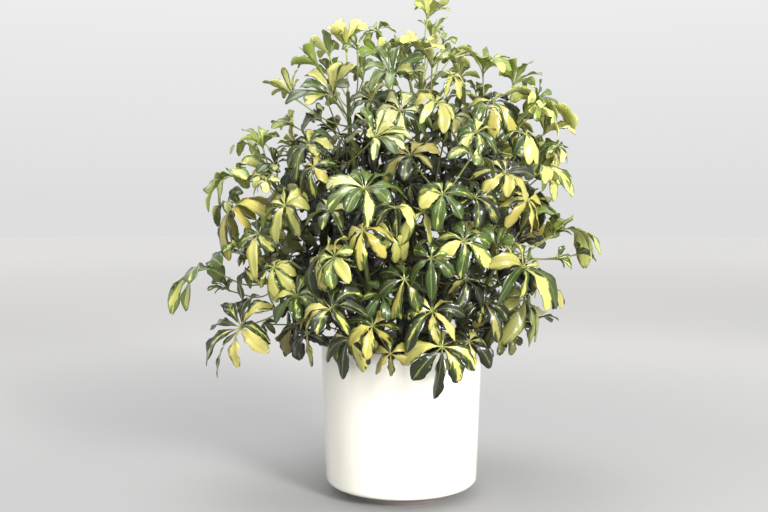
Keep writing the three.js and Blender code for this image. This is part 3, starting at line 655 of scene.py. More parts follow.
@dataclass(frozen=True)
class StalkFinish:
    """Smooth olive petioles, yellower on golden leaves, browner towards the stem, with painted shade deep in
    the bush.
    """

    olive: tuple = shade(108, 124, 62)
    golden: tuple = shade(184, 184, 104)
    brown: tuple = shade(98, 86, 58)
    inner: tuple = shade(112, 110, 92)
    streak_scales: tuple = (0.06, 9.0)
    brown_end: tuple = (0.16, 0.0)
    relief: tuple = (0.3, 0.0004)

    def make(self) -> bpy.types.Material:
        """Make the petiole material.

        Returns:
            The material.
        """
        w = Wiring(bpy.data.materials.new("umbrella_petiole"))
        along, round_ = w.grain()
        streaks = w.drawn_out(along, round_, self.streak_scales, 2.0)
        colour = w.mix(w.sum((w.number("gold"), 0.55), (streaks, 0.3)), self.olive, self.golden)
        colour = w.mix(w.step(w.number("fresh"), *self.brown_end), colour, self.brown)
        # Painted shade: petioles deep inside the bush are multiplied towards a dark grey-olive.
        colour = w.mix(w.number("inner"), colour, self.inner, "MULTIPLY")
        normal = w.bump(streaks, *self.relief)
        shader = w.principled(base_color=colour, roughness=0.42, specular_ior_level=0.45, normal=normal)
        return w.finish(shader)


@dataclass(frozen=True)
class BarkFinish:
    """Grey-brown ringed bark that turns green towards the tip of each stem."""

    wood: tuple = shade(92, 78, 60)
    furrow: tuple = shade(52, 43, 34)
    green: tuple = shade(88, 100, 52)
    spot_scales: tuple = (0.22, 7.0)
    fine_scale: float = 420.0
    furrow_edge: tuple = (0.42, 0.62)
    green_age: tuple = (0.55, 0.95)
    relief: tuple = (0.6, 0.0009)

    def make(self) -> bpy.types.Material:
        """Make the bark material.

        Returns:
            The material.
        """
        w = Wiring(bpy.data.materials.new("umbrella_bark"))
        along, round_ = w.grain()
        spots = w.drawn_out(along, round_, self.spot_scales, 4.0)
        fine = w.noise(w.place(), self.fine_scale, 3.0)
        wood = w.mix(w.step(spots, *self.furrow_edge), self.furrow, self.wood)
        age = w.sum((w.number("fresh"), 1.0), (spots, 0.3))
        colour = w.mix(w.step(age, *self.green_age), wood, self.green)
        normal = w.bump(w.sum((spots, 0.7), (fine, 0.3)), *self.relief)
        shader = w.principled(base_color=colour, roughness=0.68, specular_ior_level=0.3, normal=normal)
        return w.finish(shader)


@dataclass(frozen=True)
class GlazeFinish:
    """White glaze over stoneware, faintly uneven, with a dull unglazed foot whose dark colour is partly
    painted shade.
    """

    white: tuple = shade(243, 240, 229)
    shadowed: tuple = shade(236, 232, 222)
    foot: tuple = shade(124, 112, 111)
    foot_top: float = 0.0185
    foot_fade: float = 0.0012
    cloud_scale: float = 9.0
    peel_scale: float = 60.0
    speck_scale: float = 900.0
    speck_edge: tuple = (0.76, 0.82)
    relief: tuple = (0.35, 0.0016)

    def make(self) -> bpy.types.Material:
        """Make the glaze material.

        Returns:
            The material.
        """
        w = Wiring(bpy.data.materials.new("white_glaze"))
        place = w.place()
        clouds = w.noise(place, self.cloud_scale, 3.0)
        peel = w.noise(place, self.peel_scale, 2.0)
        specks = w.noise(place, self.speck_scale, 1.0)
        bare_shaded_foot = w.step(w.height(), self.foot_top, self.foot_top - self.foot_fade)
        colour = w.mix(clouds, self.white, self.shadowed)
        colour = w.mix(w.times(w.step(specks, *self.speck_edge), 0.25), colour, self.foot)
        # Painted shade: the recessed foot gets a dark mauve-grey that is partly the unglazed clay's own
        # colour and partly the shade under the pot.
        colour = w.mix(bare_shaded_foot, colour, self.foot)
        shader = w.principled(
            base_color=colour,
            roughness=w.sum((clouds, 0.08), (bare_shaded_foot, 0.5), (1.0, 0.12)),
            specular_ior_level=0.55,
            coat_weight=0.5,
            coat_roughness=0.06,
            normal=w.bump(w.sum((clouds, 0.6), (peel, 0.1)), *self.relief),
        )
        return w.finish(shader)


@dataclass(frozen=True)
class SoilFinish:
    """Dark moist potting soil with paler fibres."""

    dark: tuple = shade(30, 24, 19)
    brown: tuple = shade(66, 50, 37)
    fibre: tuple = shade(120, 96, 70)
    crumb_scale: float = 130.0
    clod_scale: float = 38.0
    fibre_scale: float = 260.0
    crumb_edge: tuple = (0.4, 0.66)
    fibre_edge: tuple = (0.66, 0.72)
    relief: tuple = (0.9, 0.004)

    def make(self) -> bpy.types.Material:
        """Make the soil material.

        Returns:
            The material.
        """
        w = Wiring(bpy.data.materials.new("potting_soil"))
        place = w.place()
        crumbs = w.noise(place, self.crumb_scale, 5.0, 0.62)
        clods = w.noise(place, self.clod_scale, 3.0)
        colour = w.mix(w.step(crumbs, *self.crumb_edge), self.dark, self.brown)
        fibres = w.step(w.noise(place, self.fibre_scale, 2.0), *self.fibre_edge)
        colour = w.mix(fibres, colour, self.fibre)
        normal = w.bump(w.sum((crumbs, 0.7), (clods, 0.6)), *self.relief)
        shader = w.principled(base_color=colour, roughness=0.92, specular_ior_level=0.2, normal=normal)
        return w.finish(shader)


@dataclass(frozen=True)
class FloorFinish:
    """Plain pale floor."""

    pale: tuple = shade(211, 210, 209)
    middle: tuple = shade(197, 196, 195)
    near: tuple = shade(156, 156, 156)
    near_to_middle: tuple = (0.75, 2.5)
    middle_to_pale: tuple = (2.7, 9.2)
    cloud_scale: float = 0.6

    def make(self) -> bpy.types.Material:
        """Make the floor material, greyer towards the plant, where the lamps shine more on it.

        Returns:
            The material.
        """
        w = Wiring(bpy.data.materials.new("pale_floor"))
        away = w.add("ShaderNodeVectorMath", {0: w.place()}, operation="LENGTH").outputs["Value"]
        cloud = w.noise(w.place(), self.cloud_scale, 2.0)
        clouded = w.sum((away, 1.0), (cloud, 0.4))
        colour = w.mix(w.step(clouded, *self.near_to_middle), self.near, self.middle)
        colour = w.mix(w.step(clouded, *self.middle_to_pale), colour, self.pale)
        return w.finish(w.principled(base_color=colour, roughness=0.7, specular_ior_level=0.2))


# Pot and soil

@dataclass
class Pot:
    """A slightly tapered cylinder with a thin rim, a rounded bottom edge and a recessed foot."""

    rim_radius: float = 152.4
    rim_height: float = 283
    bottom_radius: float = 143.5
    foot_radius: float = 104
    foot_height: float = 18
    bottom_round: float = 10
    rim_round: float = 2
    foot_round: float = 1
    wall: float = 7
    floor: float = 9
    sides: int = 180
    edge_steps: int = 10
    rim_steps: int = 5
    foot_steps: int = 3
    wall_steps: int = 25
    sharp: float = 50

    def inner_radius(self, height: float) -> float:
        """Work out the radius of the inner wall.

        Args:
            height: Height above the ground.

        Returns:
            The radius there.
        """
        low = self.foot_height + self.floor
        share = (height - low) / (self.rim_height - low)
        return between(self.bottom_radius, self.rim_radius, share) - self.wall

    @staticmethod
    def arc(radius: float, height: float, size: float, start: float, end: float, steps: int) -> np.ndarray:
        """Return points of a round edge of a size about its middle, between two angles in degrees."""
        turn = np.radians(np.linspace(start, end, steps + 1))
        return np.stack([radius + size * np.cos(turn), height + size * np.sin(turn)], axis=-1)

    def profile(self) -> np.ndarray:
        """Draw the outline from the foot's underside up the outside, over the rim and down the inside.

        Returns:
            Radius and height of each point.
        """
        edge, lip, bead = self.bottom_round, self.rim_round, self.foot_round
        top = self.rim_height
        floor_height = self.foot_height + self.floor
        outer = self.arc(self.bottom_radius - edge, self.foot_height + edge, edge, -90, 0, self.edge_steps)
        rim = self.arc(self.rim_radius - lip, top - lip, lip, 0, 90, self.rim_steps)
        rise = np.linspace(0, 1, self.wall_steps + 1)[1:-1, None]
        wall = outer[-1] + (rim[0] - outer[-1]) * rise
        inside = self.arc(self.rim_radius - self.wall + lip, top - lip, lip, 90, 180, self.rim_steps)
        low = np.array([self.bottom_radius - self.wall, floor_height])
        inner_wall = inside[-1] + (low - inside[-1]) * rise
        return np.concatenate([
            [[self.foot_radius * 0.5, 0], [self.foot_radius - 2 * bead, 0]],
            self.arc(self.foot_radius - bead, bead, bead, -90, 0, self.foot_steps),
            [[self.foot_radius, self.foot_height - bead]],
            self.arc(self.foot_radius + bead, self.foot_height - bead, bead, 180, 90, self.foot_steps),
            outer, wall, rim, inside, inner_wall, [low, [low[0] * 0.5, floor_height]],
        ])

    def build(self) -> Surface:
        """Return the pot's surface."""
        return lathe(self.profile(), self.sides)

    def dress(self) -> bpy.types.Object:
        """Glaze the pot.

        Returns:
            The finished piece.
        """
        piece = make_piece("glazed_pot", [self.build()], [GlazeFinish().make()], "pot")
        piece.data.set_sharp_from_angle(angle=math.radians(self.sharp))
        return piece


@dataclass
class Soil:
    """The filling of the pot, with clods and crumbs on its top."""

    pot: Pot
    height: float = SOIL
    lump: float = 2.5
    clod_pitch: tuple = (0.052, 0.047, 0.09)
    clod_start: float = 0.7
    slanting_clods: float = 0.6
    crumb_seed: int = 70
    crumb_length: tuple = (7.0, 30.0)
    crumb_height: tuple = (0.08, 0.30)
    crumb_limit: float = 2.2
    edge_drop: float = 5
    edge_inset: float = 1.5
    middle_ring: float = 2
    bottom_ring: float = 60
    fit_gap: float = 0.3
    rings: int = 56
    sides: int = 220
    waves: int = 40

    def lumps(self, x: np.ndarray, y: np.ndarray) -> np.ndarray:
        """Raise the top by the clods of the solid and by finer crumbs.

        The clods are a sine wave along X times a cosine wave along Y, and a sine wave on the slant. The
        crumbs are a sum of seeded sine waves of all directions.

        Args:
            x: Places along X.
            y: Places along Y.

        Returns:
            The height above the even top at each place.
        """
        along_x, along_y, slanting = self.clod_pitch
        clods = np.sin(x * along_x + self.clod_start) * np.cos(y * along_y)
        clods = clods + self.slanting_clods * np.sin((x - y) * slanting)
        turn, length, phase, height = Draws(self.crumb_seed).many(self.waves * 4).reshape(self.waves, 4).T
        turn, phase = turn * 2 * np.pi, phase * 2 * np.pi
        pitch = 2 * np.pi / between(*self.crumb_length, length)
        across = x[..., None] * np.cos(turn) + y[..., None] * np.sin(turn)
        crumbs = (np.sin(across * pitch + phase) * between(*self.crumb_height, height)).sum(axis=-1)
        return self.lump * clods + np.clip(crumbs, -self.crumb_limit, self.crumb_limit)

    def build(self) -> Surface:
        """Shape the soil: a wall inside the pot and a top whose height is a function of its place.

        Returns:
            The closed surface.
        """
        bottom = self.pot.foot_height + self.pot.floor + self.fit_gap
        edge = self.pot.inner_radius(self.height) - self.fit_gap
        top = np.linspace(edge - self.edge_inset, self.middle_ring, self.rings)
        profile = np.concatenate([
            [[self.bottom_ring, bottom], [self.pot.inner_radius(bottom) - self.fit_gap, bottom]],
            [[edge, self.height - self.edge_drop]],
            np.stack([top, np.full(self.rings, self.height)], axis=-1),
        ])
        surface = lathe(profile, self.sides)
        on_top = surface.points[:, 2] > self.height - self.edge_drop / 2
        x, y = surface.points[on_top, 0], surface.points[on_top, 1]
        surface.points[on_top, 2] += self.lumps(x, y)
        return surface

    def dress(self) -> bpy.types.Object:
        """Return the finished soil."""
        return make_piece("soil_top", [self.build()], [SoilFinish().make()], "soil")


# Where the leaves stand

@dataclass
class Room:
    """What a leaf fills: thin triangles, their edges, and its petiole as round bars.

    Attributes:
        stem: Name of its stem.
        centre: Its hub.
        size: How far from the hub it can reach.
        planes: Outward directions of the five planes that bound each triangle.
        offsets: How far each plane lies from the origin.
        edges: Start and end of each edge.
        bars: Start and end of each part of the petiole.
    """

    stem: str
    centre: np.ndarray
    size: float
    planes: np.ndarray
    offsets: np.ndarray
    edges: np.ndarray
    bars: np.ndarray


@dataclass
class Leaf:
    """One palmate leaf, as the rule places it.

    Attributes:
        seed: Seed of its draws.
        hub: Where its leaflets meet.
        normal: The way it faces.
        root: Where its petiole leaves the stem.
        bend: The middle of its petiole.
        lengths: Length of each leaflet.
        tilted: The way across each leaflet.
        wide: Middle of each leaflet's widest line.
        tips: Tip of each leaflet.
        notches: Where neighbouring leaflets part.
        widest: Half the width of a leaflet as a share of its length.
        reach: Nominal length of the leaflets.
        habit: How the leaflets rise and fall.
        gold: Share of yellow.
        tone: Kind of green and yellow.
        small: Whether it is one of the smaller leaves, which have fewer faces.
        inner: How deep inside the bush it grows, from 0 to 1, which sets how much painted shade darkens it.
    """

    seed: int
    hub: np.ndarray
    normal: np.ndarray
    root: np.ndarray
    bend: np.ndarray
    lengths: np.ndarray
    tilted: np.ndarray
    wide: np.ndarray
    tips: np.ndarray
    notches: np.ndarray
    widest: float
    reach: float
    habit: Habit
    gold: float = 0.4
    tone: Tone = MATURE
    small: bool = False
    inner: float = 0


@dataclass(frozen=True)
class LeafWish:
    """What the rule is asked for: a leaf's size, turn, number of leaflets and habit."""

    stem: str
    seed: int
    reach: float
    turn: float
    leaflets: int
    habit: Habit


@dataclass
class StemPath:
    """One run of woody stem, as corners and the radius at each."""

    points: np.ndarray
    radii: np.ndarray


@dataclass
class LeafPlaces:
    """Places along a stem where a petiole can spring."""

    places: np.ndarray
    free: np.ndarray


@dataclass
class Stem:
    """A leafy stem: its way up from the soil, its side shoots and its leaves.

    Attributes:
        name: Name of its node.
        radius: Radius at the soil and at the tip.
        path: Corners of its way up.
        shoots: For each side shoot the corner it leaves, then its own corners.
        seen: Leaves that the front shows, each as hub, reach, turn, lean, leaflets, habit, gold and tone.
        more: How many more leaves grow by the rule.
    """

    name: str
    radius: tuple[float, float]
    path: list
    shoots: list
    seen: list
    more: int
    rooting: float = 60
    straight: float = 12
    shoot_share: float = 0.8
    shoot_over_tip: float = 1
    shoot_tip_share: float = 0.85
    node_spacing: float = 9
    lowest_leaf: float = 300
    paths: list[StemPath] = field(default_factory=list)
    roots: LeafPlaces | None = None
    leaves: list[Leaf] = field(default_factory=list)

    def lay_out(self) -> None:
        """Work out the runs of the stem and the places where petioles can spring."""
        main = np.array(self.path, float)
        grows = unit(main[1] - main[0])
        start = main[0] - grows * self.rooting
        collar = main[0] + grows * self.straight
        points = np.concatenate([[start, collar], main[1:]])
        shares = np.maximum(np.arange(len(points)) - 1, 0) / (len(points) - 2)
        radii = between(*self.radius, shares)
        self.paths = [StemPath(points, radii)]
        for corner, *run in self.shoots:
            shoot = np.concatenate([[main[corner]], np.array(run, float)])
            thick = min(radii[corner + 1] * self.shoot_share, self.radius[1] + self.shoot_over_tip)
            thin = self.radius[1] * self.shoot_tip_share
            self.paths.append(StemPath(shoot, between(thick, thin, np.linspace(0, 1, len(shoot)))))
        places = []
        for run in self.paths:
            for low, high in zip(run.points[:-1], run.points[1:]):
                steps = int(np.linalg.norm(high - low) // self.node_spacing)
                shares = np.arange(1, steps + 1)[:, None] / (steps + 0.5)
                places.append(low + (high - low) * shares)
        joined = np.concatenate(places)
        joined = joined[joined[:, 2] > self.lowest_leaf]
        self.roots = LeafPlaces(joined, np.ones(len(joined), bool))


@dataclass
class Bush:
    """The rule that finds room for every leaf, in the order of draws that the solids were grown in."""

    stems: list[Stem]
    pot: Pot
    petiole_radius: float = 1.7
    half_width: float = 0.22
    widest_at: float = WIDEST_AT
    hub_share: float = 0.085
    sag: float = 0.12
    crowding: float = 0.82
    angle_jitter: float = 0.1
    longer_outward: float = 0.1
    length_jitter: float = 0.12
    roll_jitter: float = 0.35
    spin_jitter: float = 0.7
    petiole_bow: float = 0.18
    petiole_pull: float = 0.28
    clearance: float = 1.7
    hub_clear: float = 12
    room_margin: float = 1.1
    furthest_petiole: float = 320
    full_turn_at: float = 1 / 3
    looked_at_first: tuple = (3, 9)
    tries: int = 56
    turn_room: float = 60
    lean_room: float = 38
    shift_room: float = 22
    shrink_room: float = 0.16
    pot_margin: float = 8
    shortest_petiole: float = 45
    short_cost: float = 4
    turned_cost: float = 90
    shape_seed: int = 5000
    rule_seed: int = 9000
    finish_seed: int = 31000
    crown: tuple = ((270, 190), (350, 330), (450, 385), (550, 375), (650, 320), (750, 240), (850, 120),
                    (930, 20))
    crown_depth: float = 0.9
    rule_tries: int = 300
    spread: float = 230
    rise: tuple = (5, 65)
    petiole: tuple = (62, 120)
    reach: tuple = (62, 84)
    lean: tuple = (22, 55)
    leaflets: tuple = (6, 6)
    apart: float = 0.46
    inside_crown: float = 0.7
    habits: tuple = (FLAT, FLAT, DROOP, CUP)
    small_count: int = 430
    small_attempts: int = 11000
    small_tries: int = 8
    small_seed: int = 52000
    small_crown: tuple = ((296, 250), (330, 335), (400, 395), (500, 400), (600, 380), (700, 335), (780, 270),
                          (830, 215), (870, 150), (900, 90))
    small_depth: float = 0.84
    small_inside: float = 0.85
    small_share: tuple = (0.04, 1.0)
    small_petiole: tuple = (34, 135)
    small_reach: tuple = (34, 62)
    small_lean: tuple = (0, 42)
    small_droop: float = 30
    small_turn: float = 130
    small_apart: float = 0.33
    small_overhang: float = 0.35
    small_leaflets: tuple = (5, 4)
    # Small leaves drawn deep in the crown take less gold and darker tones, as painted shade of the bush's
    # inside.
    deep_share: float = 0.62
    deep_gold: float = 0.4
    outer_gold: float = 0.85
    small_habits: tuple = (FLAT, DROOP, DROOP, CUP, FLAT)
    high_habits: tuple = (UPRIGHT, CUP, CUP, FLAT, UPRIGHT)
    high_tones: tuple = (YOUNG, BRIGHT, YOUNG, MATURE, BRIGHT, YOUNG, CREAM, YOUNG)
    high: float = 680
    inner_tones: tuple = (DARK, DARK, MATURE, DARK, OCHRE, MATURE, DARK, MATURE)
    outer_tones: tuple = (DARK, MATURE, CREAM, BRIGHT, MATURE, BRIGHT, YOUNG, CREAM)
    # Leaves whose hubs lie near the heart get painted shade: full inside the first share of heart_edge, none
    # past the second.
    heart: tuple = (0, 0, 480)
    heart_floor: tuple = (-1000, -1000, 0)
    heart_size: tuple = (400, 320, 430)
    heart_edge: tuple = (0.48, 0.84)
    placed: list[Room] = field(default_factory=list)
    stem_owners: np.ndarray | None = None
    stem_lines: np.ndarray | None = None
    stem_radii: np.ndarray | None = None

    def shape(self, wish: LeafWish, root: np.ndarray, hub: np.ndarray, face: np.ndarray, spin: float) -> Leaf:
        """Lay out a leaf from its hub.

        Each leaflet leaves the hub at its own angle in the leaf's plane, rises at the habit's first angle
        to its widest line and goes on at the second angle to its tip, and sags by its length.

        Args:
            wish: What is asked for.
            root: Where the petiole leaves the stem.
            hub: Where the leaflets meet.
            face: The way the leaf is asked to face.
            spin: Turn of the leaflets round the hub, in radians.

        Returns:
            The leaf.
        """
        out = unit(hub - root)
        normal = unit(face + out * self.petiole_pull)
        outward = lean_direction(wish.turn, LEVEL)
        u = unit(outward - normal * (outward @ normal))
        v = np.cross(normal, u)
        first, second = np.radians(wish.habit.value)
        step = 2 * math.pi / wish.leaflets
        draws = Draws(wish.seed + self.shape_seed).many(3 * wish.leaflets).reshape(-1, 3)
        widest = min(self.half_width, self.widest_at * math.cos(first) * math.tan(step / 2) * self.crowding)
        count = np.arange(wish.leaflets)
        angle = spin + step * (count + (draws[:, 0] - 0.5) * self.angle_jitter)
        away = np.cos(angle)[:, None] * u + np.sin(angle)[:, None] * v
        share = 1 - self.longer_outward * (1 - away @ out)
        length = wish.reach * share * (1 + self.length_jitter * (draws[:, 1] - 0.5))
        roll = (draws[:, 2] - 0.5) * self.roll_jitter
        across = np.cross(normal, away)
        tilted = across * np.cos(roll)[:, None] + normal * np.sin(roll)[:, None]
        near, far = self.widest_at, 1 - self.widest_at
        size = length[:, None]
        wide = hub + away * size * near * math.cos(first) + normal * size * near * math.sin(first)
        tips = wide + away * size * far * math.cos(second) + normal * size * far * math.sin(second)
        wide[:, 2] -= self.sag * length * near * near
        tips[:, 2] -= self.sag * length
        middle = spin + step * (count - 0.5)
        hub_size = wish.reach * self.hub_share
        notches = (hub + np.cos(middle)[:, None] * hub_size * u + np.sin(middle)[:, None] * hub_size * v
                   + normal * (math.sin(first) * hub_size * 0.5))
        bend = (hub + root) / 2 - normal * (self.petiole_bow * np.linalg.norm(hub - root))
        return Leaf(wish.seed, hub, normal, root, bend, length, tilted, wide, tips, notches, widest,
                    wish.reach, wish.habit)

    def room(self, stem: str, leaf: Leaf) -> Room:
        """Work out what a leaf fills.

        The hub is a fan of triangles between the notches. Each leaflet is three more, from its two notches
        to its widest line and on to its tip. A triangle is bound by a plane on each side and one an edge.

        Args:
            stem: Name of its stem.
            leaf: The leaf.

        Returns:
            Its room.
        """
        offset = leaf.tilted * (leaf.widest * leaf.lengths)[:, None]
        left, right = leaf.wide - offset, leaf.wide + offset
        near, far = leaf.notches, np.roll(leaf.notches, -1, axis=0)
        hub = np.broadcast_to(leaf.hub, near.shape)
        corners = [(hub, near, far), (near, left, right), (near, right, far), (left, leaf.tips, right)]
        triangles = np.concatenate([np.stack(three, axis=1) for three in corners])
        a, b, c = triangles[:, 0], triangles[:, 1], triangles[:, 2]
        normal = unit(np.cross(b - a, c - a))
        outward = [unit(np.cross(end - start, normal)) for start, end in ((a, b), (b, c), (c, a))]
        planes = np.stack([normal, -normal, *outward], axis=1)
        on_plane = np.stack([a, a, a, b, c], axis=1)
        pairs = [(hub, near), (near, far), (near, left), (near, right), (left, right), (left, leaf.tips),
                 (leaf.tips, right), (right, far)]
        edges = np.concatenate([np.stack(pair, axis=1) for pair in pairs])
        share = min(self.hub_clear / np.linalg.norm(leaf.hub - leaf.bend), 1)
        clear = leaf.hub + (leaf.bend - leaf.hub) * share
        bars = np.array([[clear, leaf.bend], [leaf.bend, leaf.root]])
        offsets = (planes * on_plane).sum(axis=-1)
        return Room(stem, leaf.hub, leaf.reach * self.room_margin, planes, offsets, edges, bars)

    @staticmethod
    def touches(lines: np.ndarray, planes: np.ndarray, offsets: np.ndarray,
                margin: np.ndarray | float) -> bool:
        """Tell whether any line comes within a margin of any triangle.

        A line is cut down by the planes of a triangle moved out by the margin, and touches where some of
        it is left.

        Args:
            lines: Start and end of each line.
            planes: Directions of the planes of each triangle.
            offsets: Distances of those planes.
            margin: Margin, one for all or one a line.

        Returns:
            Whether any does.
        """
        if not len(lines) or not len(planes):
            return False
        ways = planes.reshape(-1, 3).T
        shape = (len(lines), *planes.shape[:2])
        room = offsets.ravel() + np.reshape(margin, (-1, 1))
        start = (lines[:, 0] @ ways - room).reshape(shape)
        end = (lines[:, 1] @ ways - room).reshape(shape)
        kept = ~((start > 0) & (end > 0)).any(axis=2)
        if not kept.any():
            return False
        start = start[kept]
        change = end[kept] - start
        flat = np.abs(change) < LEAST_CHANGE
        share = -start / np.where(flat, 1, change)
        leave = np.where(~flat & (change > 0), share, 1).min(axis=1).clip(max=1)
        enter = np.where(~flat & (change < 0), share, 0).max(axis=1).clip(min=0)
        return bool((enter <= leave).any())

    @staticmethod
    def distances(lines: np.ndarray, others: np.ndarray) -> np.ndarray:
        """Work out the least distance between each line and each other line.

        The nearest places lie where the way between them is square to both lines, kept between the ends.

        Args:
            lines: Start and end of each line.
            others: Start and end of each other line.

        Returns:
            Distances, a row a line.
        """
        p = (lines[:, 1] - lines[:, 0])[:, None]
        q = (others[:, 1] - others[:, 0])[None]
        w = lines[:, None, 0] - others[None, :, 0]
        pp, qq, pq = (p * p).sum(-1), (q * q).sum(-1), (p * q).sum(-1)
        pw, qw = (p * w).sum(-1), (q * w).sum(-1)
        crossing = pp * qq - pq * pq
        skew = crossing > LEAST_SKEW * pp * qq
        s = np.where(skew, np.clip((pq * qw - qq * pw) / np.where(skew, crossing, 1), 0, 1), 0)
        t = np.clip((pq * s + qw) / qq, 0, 1)
        s = np.clip((pq * t - pw) / pp, 0, 1)
        return np.linalg.norm(w + p * s[..., None] - q * t[..., None], axis=-1)

    def hits_pot(self, room: Room) -> bool:
        """Tell whether a leaf comes too near the pot's rim.

        Args:
            room: What the leaf fills.

        Returns:
            Whether any end or middle of an edge does.
        """
        starts, ends = room.edges[:, 0], room.edges[:, 1]
        points = np.concatenate([starts, ends, (starts + ends) / 2, room.bars[0]])
        low = points[:, 2] < self.pot.rim_height + self.pot_margin
        over = np.hypot(points[:, 0], points[:, 1]) < self.pot.rim_radius + self.pot_margin
        return bool((low & over).any())

    def has_room(self, room: Room) -> bool:
        """Tell whether a leaf clears the pot, its own petiole, all placed leaves and all stems.

        Args:
            room: What the leaf fills.

        Returns:
            Whether it clears them all.
        """
        reach = self.clearance + self.petiole_radius
        if self.hits_pot(room) or self.touches(room.bars, room.planes, room.offsets, reach):
            return False
        if self.touches(self.stem_lines, room.planes, room.offsets, self.clearance + self.stem_radii):
            return False
        other_stems = self.stem_owners != room.stem
        gaps = self.distances(room.bars, self.stem_lines[other_stems])
        if (gaps < self.petiole_radius + self.stem_radii[other_stems] + self.clearance).any():
            return False
        if not self.placed:
            return True
        apart = np.linalg.norm(self.centres() - room.centre, axis=1)
        order = np.argsort(apart)
        near = [self.placed[i] for i in order if apart[i] <= room.size + self.placed[i].size]
        few, more = self.looked_at_first
        for group in (near[:few], near[few:more], near[more:]):
            if group and self.blades_meet(room, group):
                return False
        about = [self.placed[i] for i in order if apart[i] < self.furthest_petiole]
        if not about:
            return True
        planes = np.concatenate([other.planes for other in about])
        offsets = np.concatenate([other.offsets for other in about])
        bars = np.concatenate([other.bars for other in about])
        if self.touches(room.bars, planes, offsets, reach):
            return False
        if self.touches(bars, room.planes, room.offsets, reach):
            return False
        foreign = [other.bars for other in about if other.stem != room.stem]
        if not foreign:
            return True
        least = 2 * self.petiole_radius + self.clearance
        return not (self.distances(room.bars, np.concatenate(foreign)) < least).any()

    def blades_meet(self, room: Room, others: list[Room]) -> bool:
        """Tell whether the blades of a leaf meet those of other leaves.

        Args:
            room: What the leaf fills.
            others: What the other leaves fill.

        Returns:
            Whether any two come within the clearance.
        """
        planes = np.concatenate([other.planes for other in others])
        offsets = np.concatenate([other.offsets for other in others])
        if self.touches(room.edges, planes, offsets, self.clearance):
            return True
        edges = np.concatenate([other.edges for other in others])
        return self.touches(edges, room.planes, room.offsets, self.clearance)

    def settle(self, wish: LeafWish, root: np.ndarray, hub: np.ndarray, face: np.ndarray,
               tries: int) -> Leaf | None:
        """Turn, lean, shift and shrink a leaf by growing amounts until it has room, and place it.

        Args:
            wish: What is asked for.
            root: Where the petiole leaves the stem.
            hub: Where the hub is wanted.
            face: The way the leaf should face.
            tries: How often it is moved at most.

        Returns:
            The placed leaf, or None where it never has room.
        """
        draws = Draws(wish.seed)
        spin = (draws.one() - 0.5) * self.spin_jitter * 2 * math.pi / wish.leaflets
        for k in range(tries):
            amount = k / self.tries
            turn = math.radians(self.turn_room) * min(amount / self.full_turn_at, 1)
            turned = spin + (draws.one() - 0.5) * turn
            shift = draws.many(3) - 0.5
            lean = draws.many(3) - 0.5
            moved_hub = hub + shift * (2 * self.shift_room * amount)
            moved_face = unit(face + lean * (2 * math.tan(math.radians(self.lean_room)) * amount))
            size = wish.reach * (1 - self.shrink_room * amount)
            smaller = LeafWish(wish.stem, wish.seed, size, wish.turn, wish.leaflets, wish.habit)
            leaf = self.shape(smaller, root, moved_hub, moved_face, turned)
            room = self.room(wish.stem, leaf)
            if self.has_room(room):
                self.placed.append(room)
                return leaf
        return None

    def cheapest(self, places: np.ndarray, free: np.ndarray, hub: np.ndarray, face: np.ndarray) -> int:
        """Choose the free place from which the petiole is short and comes from behind the leaf.

        A place costs the petiole's length, more the further the leaf faces back to it, and more below the
        shortest petiole.

        Args:
            places: Places along the stems.
            free: Which of them carry no leaf yet.
            hub: Where the petiole ends.
            face: The way the leaf faces.

        Returns:
            The number of the place.
        """
        way = hub - places
        length = np.linalg.norm(way, axis=1)
        turned = self.turned_cost * (1 - way @ face / length)
        cost = length + turned + self.short_cost * np.maximum(0, self.shortest_petiole - length)
        return int(np.argmin(np.where(free, cost, np.inf)))

    def centres(self) -> np.ndarray:
        """Return the hubs of all placed leaves."""
        return np.array([room.centre for room in self.placed])

    def sizes(self) -> np.ndarray:
        """Return how far each placed leaf can reach."""
        return np.array([room.size for room in self.placed])

    def crown_radius(self, height: float) -> float:
        """Look up half the crown's width.

        Args:
            height: Height above the ground.

        Returns:
            The half width there, or 0 above and below the crown.
        """
        heights, radii = np.array(self.crown).T
        inside = heights[0] <= height <= heights[-1]
        return float(np.interp(height, heights, radii)) if inside else 0.0

    def grow(self) -> None:
        """Place the leaves that the front shows, then those of the rule, then the smaller ones.

        A leaf is deep inside where its hub is near the heart of the bush, and there it is darkened by
        painted shade. The distance is taken as a share of the heart's size each way, and its height
        counts only above the heart.
        """
        for stem in self.stems:
            stem.lay_out()
        bars = [(stem.name, run.points[i], run.points[i + 1], run.radii[i])
                for stem in self.stems for run in stem.paths for i in range(len(run.points) - 1)]
        self.stem_owners = np.array([name for name, *_ in bars])
        self.stem_lines = np.array([[start, end] for _, start, end, _ in bars])
        self.stem_radii = np.array([radius for *_, radius in bars])
        seed = 0
        for stem in self.stems:
            for x, y, z, reach, turn, lean, leaflets, habit, gold, tone in stem.seen:
                seed += 1
                hub, face = np.array([x, y, z], float), lean_direction(turn, lean)
                chosen = self.cheapest(stem.roots.places, stem.roots.free, hub, face)
                wish = LeafWish(stem.name, seed, reach, turn, leaflets, habit)
                leaf = self.settle(wish, stem.roots.places[chosen], hub, face, self.tries)
                if leaf:
                    stem.roots.free[chosen] = False
                    leaf.gold, leaf.tone = gold, tone
                    stem.leaves.append(leaf)
        for stem in reversed(self.stems):
            seed = self.grow_more(stem, seed)
        self.fill()
        for stem in self.stems:
            for leaf in stem.leaves:
                # Painted shade: the share grows as the hub nears the heart of the bush.
                share = np.linalg.norm(np.maximum(leaf.hub - self.heart, self.heart_floor) / self.heart_size)
                leaf.inner = 1 - float(smooth_step(*self.heart_edge, share))

